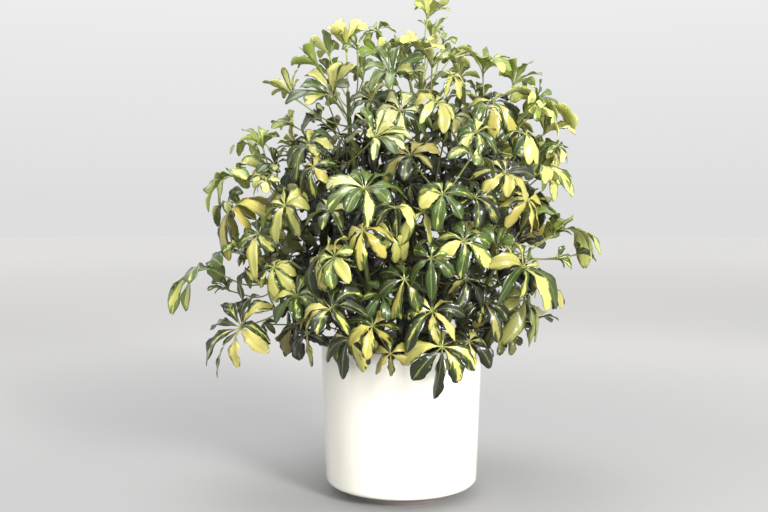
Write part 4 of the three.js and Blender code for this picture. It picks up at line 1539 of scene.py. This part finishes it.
    def fill(self) -> None:
        """Fill the crown with the smaller leaves that the solids leave out.

        A hub is drawn inside the crown, kept where no other hub is near, and grows from the free place
        on any stem that gives it the best petiole.
        """
        places = np.concatenate([stem.roots.places for stem in self.stems])
        free = np.concatenate([stem.roots.free for stem in self.stems])
        owners = np.repeat(np.arange(len(self.stems)), [len(stem.roots.places) for stem in self.stems])
        boxes = np.array([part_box(stem.name) for stem in self.stems]) / MM
        heights, radii = np.array(self.small_crown).T
        found = 0
        for attempt in range(self.small_attempts):
            if found == self.small_count:
                break
            seed = self.small_seed + attempt
            draws = Draws(seed)
            height = between(heights[0], heights[-1], draws.one())
            turn = 360 * draws.one()
            reach = between(*self.small_reach, draws.one())
            share = math.sqrt(between(*self.small_share, draws.one()))
            out = share * max(np.interp(height, heights, radii) - self.small_inside * reach, 0)
            hub = lean_direction(turn, LEVEL) * out * np.array([1, self.small_depth, 0])
            hub = hub + np.array([0, 0, height])
            apart = np.linalg.norm(self.centres() - hub, axis=1) / (self.sizes() + reach)
            turn += (draws.one() - 0.5) * self.small_turn
            lean = between(*self.small_lean, draws.one()) + self.small_droop * (1 - height / heights[-1])
            habits = self.high_habits if height > self.high else self.small_habits
            fewest, kinds = self.small_leaflets
            leaflets = fewest + int(draws.one() * kinds)
            habit = habits[int(draws.one() * len(habits))]
            gold = draws.one()
            tone = int(draws.one() * len(self.outer_tones))
            if apart.min() < self.small_apart:
                continue
            face = lean_direction(turn, lean)
            margin = reach * self.small_overhang
            inside = ((hub > boxes[:, 0] + margin) & (hub < boxes[:, 1] - margin)).all(axis=1)
            if not inside.any():
                continue
            chosen = self.cheapest(places, free & inside[owners], hub, face)
            length = np.linalg.norm(places[chosen] - hub)
            if not self.small_petiole[0] < length < self.small_petiole[1]:
                continue
            stem = self.stems[owners[chosen]]
            wish = LeafWish(stem.name, seed, reach, turn, leaflets, habit)
            leaf = self.settle(wish, places[chosen], hub, face, self.small_tries)
            if leaf:
                free[chosen] = False
                found += 1
                # Painted shade: deep small leaves get less gold and tones that lean dark.
                deep = share < self.deep_share
                leaf.gold = gold * (self.deep_gold if deep else self.outer_gold)
                tones = self.inner_tones if deep else self.outer_tones
                leaf.tone = (self.high_tones if height > self.high else tones)[tone]
                leaf.small = True
                stem.leaves.append(leaf)
        LOG.info("%d small leaves", found)

    def grow_more(self, stem: Stem, seed: int) -> int:
        """Grow the leaves of one stem that only the rule gives.

        Args:
            stem: The stem.
            seed: The last seed used.

        Returns:
            The last seed used after them.
        """
        left = stem.more
        for _ in range(self.rule_tries):
            if not left:
                break
            seed += 1
            draws = Draws(seed + self.rule_seed)
            chosen = int(draws.one() * len(stem.roots.places))
            root = stem.roots.places[chosen]
            turn = math.degrees(math.atan2(root[1], root[0])) + (draws.one() - 0.5) * self.spread
            rise = between(*self.rise, draws.one())
            petiole = between(*self.petiole, draws.one())
            hub = root + lean_direction(turn, LEVEL - rise) * petiole
            face = lean_direction(turn, between(*self.lean, draws.one()))
            reach = between(*self.reach, draws.one())
            leaflets = math.floor(between(*self.leaflets, draws.one()) + 0.5)
            habit = self.habits[int(draws.one() * len(self.habits))]
            width = math.hypot(hub[0], hub[1] / self.crown_depth) + reach * self.inside_crown
            close = np.linalg.norm(self.centres() - hub, axis=1) < self.apart * (reach + self.sizes())
            if not stem.roots.free[chosen] or width >= self.crown_radius(hub[2]) or close.any():
                continue
            wish = LeafWish(stem.name, seed, reach, turn, leaflets, habit)
            leaf = self.settle(wish, root, hub, face, self.tries)
            if leaf:
                stem.roots.free[chosen] = False
                left -= 1
                look = Draws(seed + self.finish_seed)
                leaf.gold = look.one()
                leaf.tone = list(Tone)[int(look.one() * len(Tone))]
                stem.leaves.append(leaf)
        return seed


# Fine meshes of leaves and stems

@dataclass
class LeafletDraws:
    """Draws from 0 to 1 that make the leaflets of a leaf differ, one of each a leaflet.

    Attributes:
        notched: Depth of the notch in its tip.
        wider: Width.
        keeled: Fold along its midrib.
        wave_at: Where the waves of its margins start.
        wave_rate: How close they follow.
        gilded: Share of yellow.
        look: Its own pattern.
        sickle: Bend to one side.
        droop: How far its tip hangs.
        twist: Turn along its midrib.
        shorter: Length.
        pitched: Rise from the leaf's plane.
        rolled: Turn about its midrib.
        ragged_at: Where the raggedness of its margins starts.
        ragged_rate: How close its beats follow.
    """

    notched: np.ndarray
    wider: np.ndarray
    keeled: np.ndarray
    wave_at: np.ndarray
    wave_rate: np.ndarray
    gilded: np.ndarray
    look: np.ndarray
    sickle: np.ndarray
    droop: np.ndarray
    twist: np.ndarray
    shorter: np.ndarray
    pitched: np.ndarray
    rolled: np.ndarray
    ragged_at: np.ndarray
    ragged_rate: np.ndarray

    @classmethod
    def take(cls, seed: int, count: int) -> LeafletDraws:
        """Take the draws of a leaf, shaped to go with arrays of leaflets, rows and columns.

        Args:
            seed: Seed of the draws.
            count: Number of leaflets.

        Returns:
            The draws.
        """
        each = len(fields(cls))
        return cls(*Draws(seed).many(each * count).reshape(count, each).T[..., None, None])


@dataclass
class Foliage:
    """Turns a grown stem into fine leaflets, petioles and ringed wood."""

    grid: tuple = (13, 5)
    small_grid: tuple = (8, 5)
    row_crowding: float = 1.25
    half_thickness: float = 0.34
    stalk_thicker: float = 0.55
    stalk_fade: tuple = (0.3, 1.5)
    stalk_share: float = 0.105
    stalk_half_width: float = 1.0
    base_power: float = 1.15
    tip_power: float = 0.56
    tip_open: float = 1.018
    tip_round: float = 0.04
    round_from: float = 0.72
    deepest_notch: float = 0.07
    notch_from: float = 0.84
    notch_power: float = 1.5
    slimness: float = 0.97
    width_jitter: float = 0.2
    broadest: float = 84
    ragged: float = 0.09
    ragged_beats: tuple = (2.6, 4.6)
    ragged_shift: float = 2.1
    wave: float = 0.04
    wave_beats: tuple = (1.6, 2.6)
    wave_shift: float = 1.9
    keel_jitter: float = 0.16
    keel_power: float = 1.4
    sickle: float = 0.26
    tip_droop: float = 0.36
    arch: float = 0.09
    rise_power: float = 1.4
    droop_reach: float = 70
    pitch: float = 0.36
    shortening: float = 0.3
    roll: float = 1.2
    roll_in: tuple = (0.02, 0.3)
    twist: float = 1.6
    blade_seed: int = 12000
    gold_jitter: float = 1.7
    most_gold: float = 1.1
    petiole_sides: int = 8
    petiole_radius: float = 1.35
    petiole_step: float = 6
    petiole_window: float = 0.18
    petiole_lift: float = 0.8
    base_swelling: tuple = (0.75, 7)
    hub_swelling: tuple = (0.55, 4)
    stem_sides: int = 12
    stem_step: float = 2.5
    corner_window: float = 26
    ring_pitch: float = 13
    ring_height: float = 0.09
    ring_sharpness: int = 6
    ring_sink: float = 0.25
    flare: float = 0.22
    flare_length: float = 22
    shoot_youth: float = 0.6

    def midline(self, leaf: Leaf, own: LeafletDraws, along: np.ndarray,
                side: np.ndarray) -> tuple[np.ndarray, np.ndarray, np.ndarray]:
        """Lay the midlines of the leaflets, and the ways across and up from them.

        A midline is the parabola through hub, widest place and tip, followed for all or most of its
        length, less far at the corners of the tip and at its notch. It is lifted out of the leaf's plane by
        a rise that grows as a power of the way along and by an arch, which is half a sine wave, bent
        sideways like a sickle by the square of the way, and let down at its tip by the cube. The way across
        rolls about the midline and turns on along it.

        Args:
            leaf: The leaf.
            own: The draws of its leaflets.
            along: Shares of the way from base to tip.
            side: Places across, from -1 to 1.

        Returns:
            The points, the ways across and the ways up.
        """
        place = along - self.tip_round * smooth_step(self.round_from, 1.0, along) * side ** 2
        notch = self.deepest_notch * own.notched ** 2
        opening = smooth_step(self.notch_from, 1.0, along) * (1 - np.abs(side)) ** self.notch_power
        place = place - notch * opening
        place = place * (1 - self.shortening * own.shorter ** 2)
        middle, slope = self.midrib(leaf, place)
        ways = unit(slope)
        across = leaf.tilted[:, None, None]
        across = unit(across - ways * (across * ways).sum(axis=-1, keepdims=True))
        up = np.cross(ways, across)
        length = leaf.lengths[:, None, None]
        later = (along ** 2)[..., None]
        middle = middle + across * later * ((own.sickle - 0.5) * length)[..., None] * self.sickle
        rise = RISE[leaf.habit] + self.pitch * (own.pitched - 0.5)
        lifted = rise * along ** self.rise_power + self.arch * np.sin(np.pi * along)
        bent = np.minimum(length, self.droop_reach)
        middle = middle + leaf.normal * (lifted * bent)[..., None]
        middle[..., 2] -= own.droop ** 2 * self.tip_droop * bent * along ** 3
        roll = self.roll * (own.rolled - 0.5) * smooth_step(*self.roll_in, along)
        turn = (roll + (own.twist - 0.5) * self.twist * along)[..., None]
        cosine, sine = np.cos(turn), np.sin(turn)
        return middle, across * cosine + up * sine, up * cosine - across * sine

    def half_width(self, leaf: Leaf, own: LeafletDraws, along: np.ndarray, side: np.ndarray,
                   share: np.ndarray) -> np.ndarray:
        """Work out how far the blade reaches to each side of its midline.

        The half width is a power of the way from the base times a smaller power of the way left to the
        tip, so it is wedge-shaped at the base, widest past the middle and blunt at the tip. A sine wave
        that differs between the two margins makes them ragged.

        Args:
            leaf: The leaf.
            own: The draws of its leaflets.
            along: Shares of the way from base to tip.
            side: Places across, from -1 to 1.
            share: Shares of the way from the end of the short stalk to the tip.

        Returns:
            The half widths.
        """
        peak = self.base_power / (self.base_power + self.tip_power)
        wedge = (share / peak) ** self.base_power
        profile = wedge * ((self.tip_open - share) / (self.tip_open - peak)) ** self.tip_power
        length = leaf.lengths[:, None, None]
        width = self.slimness * leaf.widest * np.minimum(length, self.broadest) * profile
        width = width * (1 + self.width_jitter * (own.wider - 0.5))
        beat = 2 * np.pi * (own.ragged_at + between(*self.ragged_beats, own.ragged_rate) * along)
        width = width * (1 + self.ragged * np.sin(beat + self.ragged_shift * side) * side ** 2)
        return np.hypot(width, self.stalk_half_width)

    def blades(self, leaf: Leaf) -> Surface:
        """Make all leaflets of one leaf as closed thin shells.

        The blade reaches across from the midline by its half width. It is folded up or down by a keel that
        is a power of the distance from the midline, and waves along its margins. Its top and underside lie
        half the thickness from that sheet, which is thicker at the short stalk.

        Args:
            leaf: The leaf.

        Returns:
            The shells, each leaflet with its own named numbers.
        """
        count = len(leaf.lengths)
        own = LeafletDraws.take(leaf.seed + self.blade_seed, count)
        rows, columns = self.small_grid if leaf.small else self.grid
        row = np.linspace(0, 1, rows)
        along = (1 - (1 - row) ** self.row_crowding)[None, :, None]
        side = np.linspace(-1, 1, columns)[None, None, :]
        start = self.stalk_share
        share = np.clip((along - start) / (1 - start), 0, 1)
        middle, across, up = self.midline(leaf, own, along, side)
        width = self.half_width(leaf, own, along, side, share)
        keel = KEEL[leaf.habit] + self.keel_jitter * (own.keeled - 0.5)
        lift = width * keel * np.abs(side) ** self.keel_power
        phase = 2 * np.pi * (own.wave_at + between(*self.wave_beats, own.wave_rate) * along)
        waves = np.sin(phase + self.wave_shift * np.sign(side)) * side ** 2 * np.sin(np.pi * share)
        lift = lift + self.wave * leaf.lengths[:, None, None] * waves
        sheet = middle + across * (side * width)[..., None] + up * lift[..., None]
        fade_from, fade_to = self.stalk_fade
        stalk = 1 - smooth_step(fade_from * start, fade_to * start, along)
        half = (self.half_thickness + self.stalk_thicker * stalk) * np.ones_like(lift)
        top = sheet + up * half[..., None]
        bottom = sheet - up * half[..., None]
        points = np.stack([top, bottom], axis=1).reshape(-1, 3)
        quads, grain, flat = self.shell_faces(rows, columns)
        each = 2 * rows * columns
        offsets = np.arange(count) * each
        swing = 2 * own.gilded - 1
        gold = np.clip(leaf.gold + 0.5 * self.gold_jitter * swing * np.abs(swing), 0, self.most_gold)
        under = np.tile(np.repeat([0.0, 1.0], rows * columns), count)
        fresh, warm = leaf.tone.value
        surface = Surface(
            points=points,
            quads=(quads[None] + offsets[:, None, None]).reshape(-1, 4),
            quad_grain=np.tile(grain, (count, 1, 1)),
            flat=np.tile(flat, count),
            slot=Wear.BLADE,
        ).tell(fresh=fresh, warm=warm, inner=leaf.inner)
        surface.values |= {"gold": np.repeat(gold, each), "draw": np.repeat(own.look, each), "under": under}
        return surface

    @staticmethod
    def midrib(leaf: Leaf, place: np.ndarray) -> tuple[np.ndarray, np.ndarray]:
        """Work out points and slopes of the midribs.

        The curve is the parabola that is at the hub at 0, at the widest place at its share of the way and
        at the tip at 1.

        Args:
            leaf: The leaf.
            place: Shares of the way along, per leaflet, row and column.

        Returns:
            The points, and the directions in which they go on.
        """
        wide_at = WIDEST_AT
        s = place[..., None]
        hub = leaf.hub
        wide, tip = leaf.wide[:, None, None], leaf.tips[:, None, None]
        points = (hub * (s - wide_at) * (s - 1) / wide_at
                  + wide * s * (s - 1) / (wide_at * (wide_at - 1))
                  + tip * s * (s - wide_at) / (1 - wide_at))
        slopes = (hub * (2 * s - wide_at - 1) / wide_at
                  + wide * (2 * s - 1) / (wide_at * (wide_at - 1))
                  + tip * (2 * s - wide_at) / (1 - wide_at))
        return points, slopes

    @staticmethod
    def shell_faces(rows: int, columns: int) -> tuple[np.ndarray, np.ndarray, np.ndarray]:
        """Number the faces of one leaflet: its top, its underside and the rim between them.

        Args:
            rows: Points along the leaflet.
            columns: Points across it.

        Returns:
            The quads, their grain map places, and which are shaded flat.
        """
        quads, grain = grid_quads(rows, columns, closed=False)
        below = rows * columns
        numbers = np.arange(below).reshape(rows, columns)
        loop = np.concatenate([numbers[:-1, 0], numbers[-1, :-1], numbers[:0:-1, -1], numbers[0, :0:-1]])
        after = np.roll(loop, -1)
        rim = np.stack([loop + below, after + below, after, loop], axis=-1)
        at = np.stack([loop // columns / (rows - 1), loop % columns / (columns - 1)], axis=-1)
        next_at = np.roll(at, -1, axis=0)
        rim_grain = np.stack([at, next_at, next_at, at], axis=1)
        flat = np.concatenate([np.zeros(2 * len(quads), bool), np.ones(len(rim), bool)])
        return (np.concatenate([quads[:, ::-1], quads + below, rim]),
                np.concatenate([grain[:, ::-1], grain, rim_grain]), flat)

    def petiole(self, leaf: Leaf) -> Surface:
        """Make the petiole: a tube along its softened bend, swollen at the stem and below the hub.

        Each swelling fades with the distance as an exponential.

        Args:
            leaf: The leaf.

        Returns:
            The closed surface.
        """
        corners = np.array([leaf.root, leaf.bend, leaf.hub + leaf.normal * self.petiole_lift])
        window = self.petiole_window * np.linalg.norm(leaf.hub - leaf.root)
        path = rounded_path(corners, self.petiole_step, window)
        share = np.linspace(0, 1, len(path))
        total = np.linalg.norm(np.diff(path, axis=0), axis=1).sum()
        base, base_length = self.base_swelling
        neck, neck_length = self.hub_swelling
        at_base = base * np.exp(-share * total / base_length)
        at_hub = neck * np.exp(-(1 - share) * total / neck_length)
        radii = self.petiole_radius * (1 + at_base + at_hub)
        surface = tube(path, radii, self.petiole_sides, Wear.STALK).tell(gold=leaf.gold, inner=leaf.inner)
        surface.values["fresh"] = np.concatenate([np.repeat(share, self.petiole_sides), [0, 1]])
        return surface

    def wood(self, run: StemPath, rooted: bool) -> Surface:
        """Make one run of stem: a tapering tube with leaf scars as low rings, flared at the soil.

        The rings are a high power of a cosine wave along the stem, and the flare fades with the height as
        an exponential.

        Args:
            run: Corners and radii of the run.
            rooted: Whether it stands in the soil.

        Returns:
            The closed surface.
        """
        path = rounded_path(run.points, self.stem_step, self.corner_window)
        lengths, marks = walked(path), walked(run.points)
        radii = np.interp(lengths / lengths[-1], marks / marks[-1], run.radii)
        beat = 0.5 + 0.5 * np.cos(2 * np.pi * lengths / self.ring_pitch)
        radii = radii * (1 + self.ring_height * (beat ** self.ring_sharpness - self.ring_sink))
        if rooted:
            above = np.maximum(path[:, 2] - SOIL, 0)
            radii = radii * (1 + self.flare * np.exp(-above / self.flare_length))
        surface = tube(path, radii, self.stem_sides, Wear.BARK)
        share = lengths / lengths[-1]
        young = share if rooted else between(self.shoot_youth, 1.0, share)
        surface.values["fresh"] = np.concatenate([np.repeat(young, self.stem_sides), [young[0], young[-1]]])
        return surface

    def dress(self, stem: Stem, materials: list[bpy.types.Material]) -> bpy.types.Object:
        """Make one leafy stem.

        Args:
            stem: The grown stem.
            materials: Materials of its blades, petioles and bark.

        Returns:
            The finished piece.
        """
        surfaces = [self.wood(run, i == 0) for i, run in enumerate(stem.paths)]
        for leaf in stem.leaves:
            surfaces += [self.blades(leaf), self.petiole(leaf)]
        name = stem.name.replace("stem", "leafy_stem")
        return make_piece(name, surfaces, materials, stem.name)


# The stems of this plant

STEMS = [
    Stem("stem_tall", (8, 3.6),
         [[10, 15, SOIL], [14, 18, 420], [24, 22, 560], [32, 24, 690], [38, 22, 800]],
         [[2, [-4, -30, 636], [-16, -72, 690]], [3, [66, -16, 735]]],
         [(48, 10, 890, 58, -60, 25, 6, CUP, 0.7, YOUNG),
          (30, -22, 818, 58, -60, 32, 7, CUP, 0.95, BRIGHT),
          (-44, 40, 872, 46, 150, 25, 6, FLAT, 0.2, YOUNG),
          (-18, -92, 768, 72, -90, 48, 8, CUP, 0.05, BRIGHT),
          (92, -40, 778, 60, -45, 40, 7, DROOP, 0.75, BRIGHT),
          (-5, -140, 704, 74, -80, 52, 7, FLAT, 0.8, CREAM),
          (48, -120, 712, 60, -70, 45, 7, FLAT, 0.6, MATURE),
          (-54, -96, 728, 56, -110, 48, 7, FLAT, 0.5, MATURE),
          (96, -92, 704, 58, -60, 45, 7, FLAT, 0.6, BRIGHT)], 3),
    Stem("stem_upper_left", (7.5, 3.4),
         [[-35, 12, SOIL], [-52, 4, 400], [-78, -8, 540], [-96, -16, 670], [-100, -18, 752]],
         [[2, [-114, -54, 596], [-134, -86, 634]]],
         [(-102, -22, 822, 68, -90, 16, 7, UPRIGHT, 1.1, BRIGHT),
          (-123, -85, 733, 84, -125, 46, 8, CUP, 0.45, MATURE),
          (-68, -112, 684, 54, -70, 45, 7, FLAT, 0.4, CREAM),
          (-162, -130, 648, 60, -130, 45, 7, FLAT, 0.25, MATURE),
          (-146, -56, 694, 44, -150, 40, 6, CUP, 0.6, CREAM),
          (-156, -170, 610, 52, -120, 55, 6, DROOP, 0.3, OCHRE),
          (-190, -72, 606, 56, -160, 40, 7, FLAT, 0.4, MATURE),
          (-46, -180, 661, 76, -90, 56, 9, CUP, 0.62, CREAM)], 2),
    Stem("stem_left", (7, 3.2),
         [[-68, 25, SOIL], [-110, 15, 370], [-165, 5, 470], [-215, -5, 545], [-246, -12, 590]],
         [[2, [-204, -50, 498], [-232, -72, 506]]],
         [(-310, -20, 596, 86, 175, 28, 7, FLAT, 0.35, YOUNG),
          (-292, 34, 658, 48, 140, 12, 5, FLAT, 0.4, YOUNG),
          (-254, -20, 648, 58, -90, 25, 6, CUP, 0.3, YOUNG),
          (-306, -60, 536, 88, -165, 40, 9, DROOP, 0.7, OCHRE),
          (-222, -54, 604, 48, -60, 30, 6, CUP, 0.3, MATURE),
          (-203, -160, 541, 62, -120, 50, 7, FLAT, 0.9, BRIGHT),
          (-251, -130, 491, 56, -130, 45, 7, FLAT, 0.25, MATURE)], 2),
    Stem("stem_low_left", (6.5, 3.2),
         [[-75, -30, SOIL], [-112, -52, 322], [-162, -78, 358], [-208, -92, 384], [-245, -88, 404]],
         [],
         [(-222, -165, 435, 58, -130, 48, 7, DROOP, 0.8, BRIGHT),
          (-352, -50, 424, 112, 180, 20, 7, FLAT, -0.25, MATURE),
          (-280, -98, 425, 52, -150, 48, 6, DROOP, 0.4, OCHRE),
          (-282, -135, 327, 100, -125, 50, 9, FLAT, 0.3, DARK),
          (-195, -112, 326, 64, -110, 55, 7, DROOP, 0.15, DARK),
          (-165, -172, 322, 50, -110, 55, 6, DROOP, 0.1, DARK),
          (-184, -190, 388, 60, -110, 50, 7, FLAT, 0.3, MATURE)], 1),
    Stem("stem_front", (6.5, 3.2),
         [[-28, -70, SOIL], [-44, -112, 336], [-62, -152, 412], [-68, -176, 490]],
         [[1, [-80, -168, 352]]],
         [(-64, -250, 569, 82, -90, 48, 9, FLAT, 0.3, CREAM),
          (-67, -256, 502, 56, -120, 50, 7, DROOP, 0.7, OCHRE),
          (-104, -248, 460, 62, -110, 52, 7, FLAT, 0.75, BRIGHT),
          (-138, -215, 458, 68, -150, 45, 7, DROOP, 0.3, DARK),
          (-118, -272, 384, 80, -115, 50, 8, FLAT, 0.42, DARK),
          (-92, -236, 322, 58, -100, 55, 7, DROOP, 0.2, DARK),
          (-52, -240, 343, 58, -85, 52, 7, FLAT, 0.6, OCHRE),
          (-28, -234, 300, 50, -85, 60, 6, DROOP, 0.9, OCHRE),
          (0, -262, 423, 64, -85, 58, 7, DROOP, 0.4, OCHRE),
          (-36, -236, 398, 52, -90, 55, 7, FLAT, 0.25, MATURE),
          (-24, -226, 490, 52, -75, 52, 7, DROOP, 0.75, BRIGHT)], 1),
    Stem("stem_front_right", (6.5, 3.2),
         [[28, -68, SOIL], [44, -102, 335], [62, -140, 420], [68, -158, 500], [56, -150, 575]],
         [],
         [(64, -226, 560, 60, -90, 52, 7, FLAT, 0.5, MATURE),
          (118, -200, 556, 60, -65, 48, 7, FLAT, 0.2, DARK),
          (12, -170, 626, 68, -95, 48, 7, FLAT, 0.7, OCHRE),
          (97, -244, 484, 60, -75, 52, 7, FLAT, 0.3, MATURE),
          (43, -258, 454, 54, -90, 55, 6, FLAT, 0.2, MATURE),
          (54, -250, 369, 72, -85, 52, 8, FLAT, 0.55, DARK),
          (62, -258, 312, 82, -85, 56, 8, DROOP, 0.5, DARK),
          (-9, -222, 532, 54, -100, 50, 7, FLAT, 0.3, DARK),
          (68, -140, 653, 56, -80, 40, 7, FLAT, 0.5, CREAM),
          (105, -196, 415, 58, -60, 50, 7, FLAT, 0.25, DARK)], 1),
    Stem("stem_right", (7.5, 3.4),
         [[62, 18, SOIL], [84, 14, 390], [116, 6, 520], [146, 0, 630], [164, -2, 702]],
         [[3, [186, 4, 672], [212, 8, 694]], [2, [152, -52, 556], [178, -84, 574]]],
         [(152, 0, 786, 76, -60, 25, 7, CUP, 0.2, YOUNG),
          (212, 30, 768, 64, 20, 30, 7, CUP, 0.25, YOUNG),
          (254, 20, 732, 92, -5, 28, 7, FLAT, 0.85, YOUNG),
          (166, -50, 730, 70, -90, 48, 7, DROOP, 0.8, OCHRE),
          (216, -92, 676, 66, -60, 42, 7, DROOP, 0.5, MATURE),
          (123, -140, 655, 58, -90, 45, 7, FLAT, 0.4, MATURE),
          (173, -165, 595, 72, -75, 42, 8, FLAT, 0.4, DARK),
          (240, -100, 605, 80, -40, 40, 8, FLAT, 0.7, BRIGHT),
          (215, -150, 552, 62, -60, 55, 7, DROOP, 0.85, OCHRE)], 2),
    Stem("stem_low_right", (6.5, 3.2),
         [[76, -28, SOIL], [112, -50, 326], [146, -74, 384], [170, -84, 436]],
         [[2, [188, -96, 406]], [3, [208, -66, 470]]],
         [(296, -50, 498, 116, -8, 24, 7, FLAT, 0.95, YOUNG),
          (206, -160, 434, 84, -50, 46, 9, FLAT, 0.55, MATURE),
          (218, -110, 372, 76, -40, 45, 7, DROOP, 0.7, YOUNG),
          (166, -132, 340, 64, -70, 52, 7, DROOP, 0.7, OCHRE),
          (119, -186, 314, 66, -55, 55, 7, DROOP, 0.35, DARK),
          (142, -178, 376, 60, -70, 50, 7, FLAT, 0.35, DARK),
          (160, -145, 501, 54, -80, 50, 7, DROOP, 0.8, BRIGHT)], 2),
    Stem("stem_back_left", (7, 3.2),
         [[-45, 62, SOIL], [-78, 104, 370], [-108, 146, 480], [-118, 160, 590], [-104, 150, 690]],
         [[2, [-172, 150, 520], [-222, 146, 552]], [1, [-134, 136, 385], [-190, 152, 402]]], [], 9),
    Stem("stem_back_right", (7, 3.2),
         [[45, 66, SOIL], [76, 106, 370], [104, 146, 490], [110, 156, 610], [96, 142, 715]],
         [[2, [168, 150, 530], [216, 146, 560]], [1, [136, 136, 388], [190, 150, 408]]], [], 9),
    Stem("stem_back", (6.5, 3.2),
         [[0, 84, SOIL], [-4, 138, 350], [-8, 190, 430], [-4, 218, 520], [0, 212, 600]],
         [[1, [40, 190, 392], [62, 236, 414]]], [], 8),
]


# Floor, light and camera

@dataclass(frozen=True)
class Lamp:
    """A square soft light.

    Attributes:
        name: Its name.
        at: Its place in metres.
        size: Length of its side in metres.
        power: Its power in watts.
        colour: Its colour.
    """

    name: str
    at: tuple
    size: float
    power: float
    colour: tuple


@dataclass
class Studio:
    """A plain pale floor, soft lights and the camera."""

    camera_at: tuple = (-0.033, -1.832, 0.550)
    pitch: float = 3.25
    lens: float = 45.47
    floor_radius: float = 14.0
    sky_edge: tuple = (0.73, 0.73, 0.735, 1.0)
    sky_top: tuple = (1.32, 1.32, 1.32, 1.0)
    aim: tuple = (0.0, 0.0, 0.45)
    spread: float = 80
    floor_sides: int = 96
    sensor: float = 36
    lamps: tuple = (
        Lamp("key_light", (1.95, -2.7, 1.5), 0.8, 32, (1.0, 0.99, 0.95)),
        Lamp("fill_light", (0.6, -3.1, 0.55), 0.5, 6, (1.0, 1.0, 0.98)),
        Lamp("top_light", (-0.4, 0.1, 2.8), 2.0, 12, (0.98, 0.99, 1.0)),
    )

    def floor(self) -> None:
        """Lay a large round floor."""
        turn = np.linspace(0, 2 * np.pi, self.floor_sides, endpoint=False)
        ring = np.stack([np.cos(turn), np.sin(turn), np.zeros(self.floor_sides)], axis=-1) * self.floor_radius
        mesh = bpy.data.meshes.new("pale_floor")
        mesh.from_pydata(ring.tolist(), [], [list(range(self.floor_sides))])
        mesh.materials.append(FloorFinish().make())
        floor = bpy.data.objects.new("pale_floor", mesh)
        bpy.context.scene.collection.objects.link(floor)

    def hang(self, lamp: Lamp) -> None:
        """Hang a lamp so that it shines at the plant.

        Args:
            lamp: The lamp.
        """
        light = bpy.data.lights.new(lamp.name, "AREA")
        light.shape = "SQUARE"
        light.size = lamp.size
        light.energy = lamp.power
        light.color = lamp.colour
        light.spread = math.radians(self.spread)
        holder = bpy.data.objects.new(lamp.name, light)
        holder.location = lamp.at
        way = np.array(self.aim) - np.array(lamp.at)
        level = math.hypot(way[0], way[1])
        holder.rotation_euler = (math.atan2(level, -way[2]), 0, math.atan2(way[1], way[0]) - math.pi / 2)
        bpy.context.scene.collection.objects.link(holder)

    def light(self) -> None:
        """Set a surround that is brighter overhead, a key light from the right, a fill and a top light."""
        world = bpy.data.worlds.new("pale_room")
        w = Wiring(world)
        way = w.add("ShaderNodeTexCoord", {}).outputs["Generated"]
        upwards = w.add("ShaderNodeSeparateXYZ", {0: way}).outputs[2]
        sky = w.add("ShaderNodeBackground", {"Color": w.mix(upwards, self.sky_edge, self.sky_top)}).outputs[0]
        w.add("ShaderNodeOutputWorld", {"Surface": sky})
        bpy.context.scene.world = world
        for lamp in self.lamps:
            self.hang(lamp)

    def camera(self) -> None:
        """Set the camera at the viewing angle."""
        lens = bpy.data.cameras.new("viewer")
        lens.lens = self.lens
        lens.sensor_width = self.sensor
        holder = bpy.data.objects.new("viewer", lens)
        holder.location = self.camera_at
        holder.rotation_euler = (math.radians(LEVEL - self.pitch), 0, 0)
        bpy.context.scene.collection.objects.link(holder)
        bpy.context.scene.camera = holder

    def build(self) -> None:
        """Make all of the studio."""
        self.floor()
        self.light()
        self.camera()
        bpy.context.scene.view_settings.view_transform = "Standard"


def report(piece: bpy.types.Object) -> None:
    """Log a piece's name, triangles and box.

    Args:
        piece: The finished piece.
    """
    box = np.array([corner[:] for corner in piece.bound_box]) / MM
    low, high = box.min(axis=0).round(), box.max(axis=0).round()
    triangles = sum(len(face.vertices) - 2 for face in piece.data.polygons)
    LOG.info("%s: %d triangles, %s to %s mm", piece.name, triangles, low, high)


def main() -> None:
    """Build the studio, the pot, the soil and the leafy stems."""
    logging.basicConfig(level=logging.INFO, format="%(message)s")
    Studio().build()
    pot = Pot()
    report(pot.dress())
    report(Soil(pot).dress())
    bush = Bush(STEMS, pot)
    bush.grow()
    foliage = Foliage()
    materials = [BladeFinish().make(), StalkFinish().make(), BarkFinish().make()]
    for stem in bush.stems:
        report(foliage.dress(stem, materials))
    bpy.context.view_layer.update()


if __name__ == "__main__":
    main()
